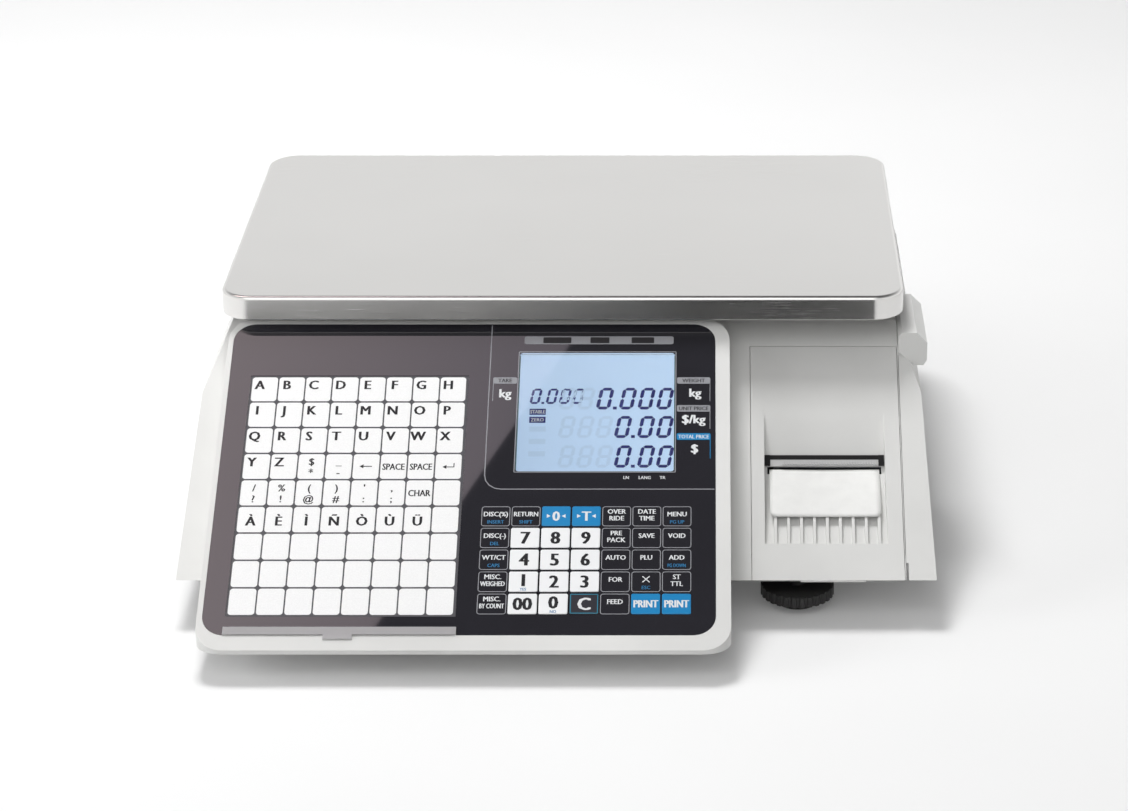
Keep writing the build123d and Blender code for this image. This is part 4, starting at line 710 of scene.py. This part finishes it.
# ---------------------------------------------------------------- operators
class FitCasings(bpy.types.Operator):
    """Rounds the moulded casings' edges and gives them their plastic"""

    bl_idname = "scale.fit_casings"
    bl_label = "Casings"

    def execute(self, context):
        edge = sizes().moulding_edge
        for node in ("upper_housing", "console_bezel", "printer_front", "side_door"):
            soften(node, "casing", edge)
        dress("tray_plastic", "base_tray")
        dress("casing", "door_latch")
        return {"FINISHED"}


class FitPlatter(bpy.types.Operator):
    """Gives the platter its folded edges and brushed steel, and the parts under it their finishes"""

    bl_idname = "scale.fit_platter"
    bl_label = "Platter and load cell"

    def execute(self, context):
        soften("platter", "platter_steel", sizes().sheet_edge, 3)
        dress("cast_alloy", "platter_spider", "load_cell")
        dress("bright_steel", "spider_screws", "underside_screws")
        dress("pad_rubber", "support_pads")
        dress("clear_plastic", "level_vial")
        return {"FINISHED"}


class FitFeet(bpy.types.Operator):
    """Gives the levelling feet their black plastic and rubber"""

    bl_idname = "scale.fit_feet"
    bl_label = "Feet"

    def execute(self, context):
        for corner in ("front_left", "front_right", "rear_left", "rear_right"):
            soften(f"foot_wheel_{corner}", "foot_plastic", 0.25 * MM)
            dress("foot_rubber", f"foot_pad_{corner}")
        return {"FINISHED"}


class FitFilm(bpy.types.Operator):
    """Lays the glossy film with its lines, tags and small words"""

    bl_idname = "scale.fit_film"
    bl_label = "Panel film"

    def execute(self, context):
        dress("overlay_film", "keypad_overlay")
        dress("clear_plastic", "sheet_cover")
        flat = on_panel(0, 0, PRINT)
        grey = Artwork("film_lines", "grey_ink")
        angles = (0, 0.4, 0.8, 1.2, math.pi / 2)
        bend = [(143.5 + 9 * (1 - math.cos(a)), -104.5 - 9 * math.sin(a)) for a in angles]
        grey.stroke(flat, [(143.5, -0.8), *bend, (267.4, -113.5)], 0.55)
        grey.block(flat, 161.9, 8.6, 244.8, 14.2, 1.2)
        for left in (145.5, 246.9):
            grey.block(flat, left, 37.5, left + (13.2 if left < 200 else 18.3), 41.9, 0.9)
        grey.block(flat, 246.9, 56.8, 265.2, 61.2, 0.9)
        for left, top, bottom in ((145.7, 41, 54), (265, 41, 54), (265, 60.5, 73)):
            grey.stroke(flat, [(left, -top), (left, -bottom)], 0.35)
        grey.ring(flat, [(159.2, -19.6), (246.2, -19.6), (246.2, -102.2), (159.2, -102.2)], 0.5)
        grey.done()
        blue = Artwork("total_tag", "bright_blue_ink")
        blue.block(flat, 246.9, 76.0, 265.3, 80.5, 0.9)
        blue.stroke(flat, [(265.1, -80), (265.1, -93)], 0.35).done()
        above = on_panel(0, 0, PRINT * 2)
        boxes = Artwork("bare_boxes", "dark_ink")
        for left, right in ((172.3, 187.9), (198.5, 209.1), (221.4, 234.0)):
            boxes.block(above, left, 9.3, right, 13.5, 0.5)
        for words, middle, top, wide in (
            ("TARE", 152.1, 38.4, 10), ("WEIGHT", 256.05, 38.4, 15), ("UNIT PRICE", 256.05, 57.7, 16)
        ):
            boxes.letter(on_panel(middle, top, PRINT * 2), words, 2.5, wide, drop=1.3)
        boxes.done()
        white = Artwork("film_words", "white_ink")
        white.letter(on_panel(256.1, 77.1, PRINT * 2), "TOTAL PRICE", 2.5, 16.6, drop=1.2)
        for words, u, w, wide in (
            ("kg", 152.4, 45.6, 8), ("kg", 256.8, 45.2, 9), ("$/kg", 256, 63.4, 15), ("$", 256.6, 83.4, 6)
        ):
            white.letter(on_panel(u, w, PRINT), words, 5.8, wide, 0.05, drop=2.9)
        for words, u in (("LN", 219.8), ("LANG", 229.8), ("TR", 239.4)):
            white.letter(on_panel(u, 105.8, PRINT), words, 2.0, 6.4)
        white.done()
        return {"FINISHED"}


class FitPresetKeys(bpy.types.Operator):
    """Prints the sheet of preset keys and its letters"""

    bl_idname = "scale.fit_preset_keys"
    bl_label = "Preset keys"

    def execute(self, context):
        size = sizes()
        dress("key_sheet", "preset_key_sheet")
        low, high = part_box("preset_key_sheet")
        left = (low.x - PANEL_CORNER.x) / MM + 1.0
        top, below = 37.4, -0.25
        wide, tall = size.preset_width / MM, size.preset_height / MM
        across, down = size.preset_pitch_u / MM, size.preset_pitch_w / MM
        rise = 0.12
        values = {"Width": size.preset_width, "Height": size.preset_height}
        values |= {"Corner": size.preset_corner, "Rise": rise * MM}
        first_x, first_y = wide / 2, tall / 2
        cells = [(column, row) for row in range(9) for column in range(8)]
        spots = [((c * across + first_x) * MM, -(r * down + first_y) * MM, 0) for c, r in cells]
        place = on_panel(left, top, below)
        repeated("preset_keys", "preset_white", preset_tree, spots, values, place)
        letters = Artwork("preset_letters", "dark_ink")

        def corner(column, row, aside, drop):
            u, w = left + column * across + aside, top + row * down + drop
            return on_panel(u, w, below + rise + PRINT)

        legends = {(c, r): letter for r, row in enumerate(PRESET_ROWS) for c, letter in enumerate(row)}
        legends |= {(0, 3): "Y", (1, 3): "Z"} | {(c, 5): letter for c, letter in enumerate(ACCENTED)}
        for (column, row), letter in legends.items():
            aside, drop = (7.0, 9.2) if row == 5 else (4.3, 5.2)
            letters.letter(corner(column, row, aside, drop), letter, 6.0, None, 0.055)
        for (column, row), (over, under) in PRESET_PAIRS.items():
            letters.letter(corner(column, row, 7.0, 5.0), over, 4.6)
            letters.letter(corner(column, row, 7.0, 12.2), under, 4.6)
        for (column, row), word in PRESET_WORDS.items():
            letters.letter(corner(column, row, 7.0, 8.4), word, 4.2, 11.8, 0.035)
        arrow = corner(4, 3, 7.0, 8.2)
        letters.stroke(arrow, [(3.2, 0), (-2.0, 0)], 0.55)
        letters.outline(arrow, [(-3.6, 0), (-1.4, -1.3), (-1.4, 1.3)])
        enter = corner(7, 3, 7.0, 8.6)
        letters.stroke(enter, [(3.0, 2.6), (3.0, 0.0)], 0.55)
        letters.stroke(enter, [(3.25, 0), (-1.6, 0)], 0.55)
        letters.outline(enter, [(-3.2, 0), (-1.0, -1.3), (-1.0, 1.3)])
        letters.done()
        return {"FINISHED"}


class FitFunctionKeys(bpy.types.Operator):
    """Outlines the film's own keys and prints their legends"""

    bl_idname = "scale.fit_function_keys"
    bl_label = "Function keys"

    def execute(self, context):
        values = {"Width": (KEY_WIDTH - 0.7) * MM, "Height": (KEY_LENGTH - 0.7) * MM}
        values |= {"Corner": 1.1 * MM, "Line": sizes().outline}
        place = on_panel(0, 0, PRINT)
        spots = []
        for column, row in FILM_KEYS:
            u = KEY_U + column * KEY_PITCH_U + KEY_WIDTH / 2
            spots.append((u * MM, -(KEY_W + row * KEY_PITCH_W + KEY_LENGTH / 2) * MM, 0))
        repeated("key_outlines", "grey_ink", outline_tree, spots, values, place)
        white, blue = Artwork("key_words", "white_ink"), Artwork("key_second_words", "blue_ink")
        for (column, row), words in FILM_KEYS.items():
            middle = key_place(column, row, PRINT)
            *lines, second = words
            start = {1: -1.5, 2: -3.2}[len(lines)]
            for index, word in enumerate(lines):
                if word:
                    white.letter(middle, word, 3.0, 12.8, 0.04, drop=start + index * 4.4)
            if second:
                blue.letter(middle, second, 2.2, 9.5, drop=3.6)
        cross = key_place(5, 3, PRINT)
        for lean in (-1, 1):
            white.stroke(cross, [(-1.9, 1.6 - 1.9 * lean), (1.9, 1.6 + 1.9 * lean)], 0.55)
        white.done()
        blue.done()
        return {"FINISHED"}


class FitKeyCaps(bpy.types.Operator):
    """Finishes the pressing keys, with each legend on its own key"""

    bl_idname = "scale.fit_key_caps"
    bl_label = "Key caps"

    def execute(self, context):
        for key, (column, row) in CAP_PLACES.items():
            slot = "key_dark" if key == "key_clear" else "key_white" if key in CAPS else "key_blue"
            soften(key, slot, sizes().key_edge)
            on_dark = slot != "key_white"
            art = Artwork(f"{key}_legend", "white_ink" if on_dark else "dark_ink", key)
            middle = key_place(column, row, KEY_PROUD + PRINT)
            if key in CAPS:
                lift = 0.9 if key in ("key_0", "key_1") else 0.0
                art.letter(middle, CAPS[key], 7.8, 12.6, 0.06, drop=-lift)
            elif key.startswith("key_print"):
                art.letter(middle, "PRINT", 4.6, 12.6, 0.055)
            else:
                art.letter(middle, "0" if key == "key_zero" else "T", 6.2, None, 0.05)
                art.outline(middle, [(-3.0, 0), (-5.0, 1.25), (-5.0, -1.25)])
                art.outline(middle, [(3.0, 0), (5.0, -1.25), (5.0, 1.25)])
            art.done()
            if key in ("key_0", "key_1"):
                word = "NO" if key == "key_0" else "YES"
                second = Artwork(f"{key}_second_word", "blue_ink", key)
                second.letter(middle, word, 1.7, 7, drop=4.9).done()
            if key == "key_clear":
                edge = Artwork("key_clear_ring", "teal_ink", key)
                x, y = KEY_WIDTH / 2 - 0.5, KEY_LENGTH / 2 - 0.5
                edge.ring(middle, [(-x, y), (x, y), (x, -y), (-x, -y)], 0.4)
                edge.done()
        return {"FINISHED"}


class FitDisplays(bpy.types.Operator):
    """Lights the displays and draws their digits"""

    bl_idname = "scale.fit_displays"
    bl_label = "Displays"

    def execute(self, context):
        dress("display_glass", "display_window", "customer_window")
        dress("lcd_panel", "operator_lcd", "customer_lcd")
        lit, ghost = Artwork("display_digits", "segment_ink"), Artwork("display_ghosts", "ghost_ink")
        number(lit, ghost, 195.4, 55.0, 10.6, 4, 3)
        number(lit, ghost, 244.2, 58.8, 15.0, 4, 3, 2)
        number(lit, ghost, 244.2, 78.3, 15.0, 3, 2, 3)
        number(lit, ghost, 244.4, 98.3, 15.0, 3, 2, 3)
        glass = on_panel(0, 0, -DIGIT_DEPTH)
        for top in (58.3, 63.8):
            lit.block(glass, 166.2, top, 175.1, top + 4.2)
        lit.done()
        for top in (70.5, 78.9, 87.3):
            ghost.block(glass, 166.4, top, 175.5, top + 3.5)
        ghost.done()
        words = Artwork("display_words", "preset_white")
        for word, top, wide in (("STABLE", 59.1, 8), ("ZERO", 64.6, 7)):
            words.letter(on_panel(170.65, top, 0.04 - DIGIT_DEPTH), word, 2.3, wide, drop=1.3)
        words.done()
        return {"FINISHED"}


FACE_SLOPE = math.radians(33.9)
FACE_TOP = Vector((0, -25.7, 109.2)) * MM
FACE_UP = Vector((0, math.cos(FACE_SLOPE), math.sin(FACE_SLOPE)))
FACE_OUT = Vector((0, -math.sin(FACE_SLOPE), math.cos(FACE_SLOPE)))


def on_face(x, w, depth=0.0):
    """A place on the printer's face, w mm down from its top line and depth mm below it."""
    spot = FACE_TOP + (PANEL_RIGHT * x - FACE_UP * w - FACE_OUT * depth) * MM
    return lying(spot, FACE_UP, FACE_OUT)


def issued_label():
    """The blank label's sheet: rounded corners and a light curl, resting on the ribs."""
    low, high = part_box("issued_label")
    start, end = (75.6, 9.1), (110.4, 1.25)  # mm down the face and below it
    sheet = bmesh.new()
    rows, columns = 14, 18
    grid = []
    for row in range(rows + 1):
        along = row / rows
        corner = max(0.0, along - 0.94) / 0.06
        inset = 2.0 * (1 - math.sqrt(max(0.0, 1 - corner * corner)))
        line = []
        for column in range(columns + 1):
            across = column / columns
            x = low.x / MM + inset + ((high.x - low.x) / MM - 2 * inset) * across
            w = start[0] + (end[0] - start[0]) * along
            depth = start[1] + (end[1] - start[1]) * along
            curl = 0.5 * math.sin(math.pi * along) + 0.15 * math.cos(2 * math.pi * across)
            line.append(sheet.verts.new(on_face(x, w, depth - curl).translation))
        grid.append(line)
    for upper, lower in zip(grid, grid[1:]):
        for column in range(columns):
            sheet.faces.new((upper[column], lower[column], lower[column + 1], upper[column + 1]))
    mesh = bpy.data.meshes.new("label_sheet")
    sheet.to_mesh(mesh)
    sheet.free()
    mesh.shade_smooth()
    piece = new_piece("label_sheet", mesh, "label_paper", "chassis")
    skin = piece.modifiers.new("Thickness", "SOLIDIFY")
    skin.thickness = 0.18 * MM
    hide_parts("issued_label")


class FitPrinter(bpy.types.Operator):
    """Finishes the label printer, its toothed bar and slot ends, with painted shade in the open slot gap"""

    bl_idname = "scale.fit_printer"
    bl_label = "Label printer"

    def execute(self, context):
        dress("printer_black", "printer_frame", "take_up_spool", "idler_gear", "motor_pinion")
        dress("head_alloy", "print_head", "feed_motor")
        dress("roller_rubber", "platen_roller")
        dress("lever_green", "head_lever")
        dress("bar_white", "peel_bar")
        dress("label_paper", "label_roll")
        issued_label()
        pitch = sizes().bar_tooth
        low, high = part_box("peel_bar")
        count = int((high.x - low.x) / pitch) - 1
        values = {"Width": 0.85 * MM, "Height": 3.0 * MM, "Corner": 0.3 * MM, "Rise": 0.55 * MM}
        spots = [(low.x + pitch * (index + 1), 0, 0) for index in range(6, count)]
        repeated("bar_teeth", "bar_white", preset_tree, spots, values, on_face(0, 72.1, 7.5))
        # the strip over the open gap above the toothed bar is a black sheet of painted shade; the two end
        # blocks are black plastic
        slot = Artwork("slot_dark", "slot_black")
        first, last = low.x / MM + 0.1, high.x / MM - 0.1
        slot.block(on_face(0, 0, 7.42), first, 67.2, last, 70.1)
        for left in (first, last - 3.2):
            slot.block(on_face(0, 0, 6.9), left, 67.4, left + 3.2, 74.6, 0.4)
        slot.done()
        return {"FINISHED"}


class FitInside(bpy.types.Operator):
    """Finishes the boards, supply and inlet"""

    bl_idname = "scale.fit_inside"
    bl_label = "Electrics"

    def execute(self, context):
        dress("circuit_board", "key_board", "main_board")
        dress("bright_steel", "power_supply")
        dress("printer_black", "power_inlet", "power_rocker")
        return {"FINISHED"}


class SetStage(bpy.types.Operator):
    """Puts the floor, lamps and camera in place"""

    bl_idname = "scale.set_stage"
    bl_label = "Stage"

    def execute(self, context):
        scene = context.scene
        scene.view_settings.view_transform = "Standard"
        floor_stage()
        lamps()
        camera = bpy.data.cameras.new("view")
        camera.lens, camera.sensor_width, camera.sensor_fit = 101.8, 36, "HORIZONTAL"
        camera.shift_x = -0.126
        eye = bpy.data.objects.new("view", camera)
        scene.collection.objects.link(eye)
        eye.location = EYE
        eye.rotation_euler = (math.radians(66.8), 0, 0)
        scene.camera = eye
        return {"FINISHED"}


def plain_world():
    """A white backdrop that lights the object softly and shows in metal and glass."""
    world = bpy.data.worlds.new("studio")
    world.use_nodes = True
    tree = world.node_tree
    ground = tree.nodes["Background"]
    rays = tree.nodes.new("ShaderNodeLightPath")
    sides = tree.nodes.new("ShaderNodeMath")
    sides.operation = "MAXIMUM"
    tree.links.new(rays.outputs["Is Camera Ray"], sides.inputs[0])
    tree.links.new(rays.outputs["Is Glossy Ray"], sides.inputs[1])
    level = tree.nodes.new("ShaderNodeMapRange")
    level.inputs["To Min"].default_value = 0.31
    way = tree.nodes.new("ShaderNodeTexCoord")
    height = tree.nodes.new("ShaderNodeSeparateXYZ")
    shade = tree.nodes.new("ShaderNodeMapRange")
    for socket, value in {"From Min": 0.3, "From Max": 0.85, "To Min": 1.0, "To Max": 0.12}.items():
        shade.inputs[socket].default_value = value
    tree.links.new(way.outputs["Generated"], height.inputs[0])
    tree.links.new(height.outputs["Z"], shade.inputs["Value"])
    tree.links.new(shade.outputs[0], level.inputs["To Max"])
    tree.links.new(sides.outputs[0], level.inputs["Value"])
    tree.links.new(level.outputs[0], ground.inputs["Strength"])
    ground.inputs["Color"].default_value = (1, 1, 1, 1)
    bpy.context.scene.world = world


def stage_sheet(name, corners, material):
    """A flat sheet of the stage."""
    mesh = bpy.data.meshes.new(name)
    mesh.from_pydata(corners, [], [tuple(range(len(corners)))])
    mesh.materials.append(material)
    sheet = bpy.data.objects.new(name, mesh)
    bpy.context.scene.collection.objects.link(sheet)
    return sheet


def card(name, corners, recipe):
    """A studio card that shows in reflections only."""
    sheet = stage_sheet(name, corners, recipe.material)
    sheet.visible_camera = sheet.visible_diffuse = False
    sheet.visible_shadow = sheet.visible_transmission = False


def unlit(name, strength):
    """A black material that may glow."""
    return Recipe(name, Base_Color=(0, 0, 0), Emission_Strength=strength, Specular_IOR_Level=0)


def floor_stage():
    """The floor and the cards that give the rim and the film their reflections."""
    plain_world()
    recipe = Recipe("floor_white", Roughness=0.9, Specular_IOR_Level=0.1, Emission_Color=(1, 1, 1))
    mottle = recipe.ramp(recipe.noise(3, 2), 0.3, 0.7)
    rays = recipe.add("ShaderNodeLightPath", output="Is Camera Ray")
    glossy = recipe.add("ShaderNodeLightPath", output="Is Glossy Ray")
    seen = recipe.blend(rays.math("MAXIMUM", rays, glossy), (0, 0, 0), (0.08, 0.08, 0.08))
    recipe.shader.inputs["Emission Strength"].default_value = 1.0
    tone = recipe.blend(mottle, (0.76, 0.76, 0.76), (0.78, 0.78, 0.78))
    recipe.feed(Base_Color=tone, Emission_Color=seen)
    half = 6.0
    corners = [(-half, -half, 0), (half, -half, 0), (half, half, 0), (-half, half, 0)]
    stage_sheet("floor", corners, recipe.material)
    outline = ((-0.32, -0.36), (0.02, -0.46), (0.05, -1.4), (0.34, -1.4), (0.22, -0.2), (-0.32, -0.2))
    card("rim_card", [(x, y, 0.008) for x, y in outline], unlit("rim_card", 0))
    # overhead card: its slanting right edge crosses the film from top right to bottom left
    height = 1.6
    top, bottom = panel_bounce(210, -30, height), panel_bounce(76, 230, height)
    left = [Vector((bottom.x - 1.2, bottom.y, height)), Vector((top.x - 1.4, top.y, height))]
    recipe = unlit("overhead_light", 1.0)
    across = recipe.ramp(recipe.add("ShaderNodeSeparateXYZ", {}, [recipe.place], "X"), -0.75, -0.05)
    recipe.feed(Emission_Color=recipe.blend(across, (3.6, 3.0, 3.0), (1.35, 1.2, 1.35)))
    card("overhead_card", [top, bottom, *left], recipe)


def panel_bounce(u, w, height):
    """Where the camera's view of a point on the film lands on a level card overhead."""
    spot = on_panel(u, w).translation
    sight = (spot - EYE).normalized()
    turned = sight - 2 * sight.dot(PANEL_OUT) * PANEL_OUT
    return spot + turned * ((height - spot.z) / turned.z)


def lamps():
    """Three area lamps; only the front one shows in reflections."""
    for name, spot, power, wide in (
        ("top_lamp", (-0.3, 0.7, 1.9), 31, 0.6),
        ("front_lamp", (-0.35, -1.7, 1.6), 13, 2.0),
        ("side_lamp", (-2.0, -0.4, 0.7), 18, 1.0),
    ):
        light = bpy.data.lights.new(name, "AREA")
        light.energy, light.size = power, wide
        lamp = bpy.data.objects.new(name, light)
        lamp.visible_glossy = name == "front_lamp"
        bpy.context.scene.collection.objects.link(lamp)
        lamp.location = spot
        lamp.rotation_euler = (Vector((0, 0, 0.05)) - Vector(spot)).to_track_quat("-Z", "Y").to_euler()


STEPS = (
    FitCasings, FitPlatter, FitFeet, FitFilm, FitPresetKeys, FitFunctionKeys, FitKeyCaps, FitDisplays,
    FitPrinter, FitInside, SetStage,
)


class ScalePanel(bpy.types.Panel):
    """Sizes, colours and steps of the price scale"""

    bl_idname = "VIEW3D_PT_price_scale"
    bl_label = "Price scale"
    bl_space_type = "VIEW_3D"
    bl_region_type = "UI"
    bl_category = "Price scale"

    def draw(self, context):
        column = self.layout.column()
        for group in (colours(), sizes()):
            for name in group.bl_rna.properties.keys():
                if name not in ("rna_type", "name"):
                    column.prop(group, name)
        for step in STEPS:
            column.operator(step.bl_idname)


CLASSES = (ScaleColours, ScaleSizes, *STEPS, ScalePanel)


def register():
    for entry in CLASSES:
        bpy.utils.register_class(entry)
    bpy.types.Scene.scale_colours = bpy.props.PointerProperty(type=ScaleColours)
    bpy.types.Scene.scale_sizes = bpy.props.PointerProperty(type=ScaleSizes)


def unregister():
    del bpy.types.Scene.scale_sizes, bpy.types.Scene.scale_colours
    for entry in reversed(CLASSES):
        bpy.utils.unregister_class(entry)


def main():
    register()
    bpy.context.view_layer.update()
    for step in STEPS:
        getattr(bpy.ops.scale, step.bl_idname.split(".")[1])()


if __name__ == "__main__":
    main()
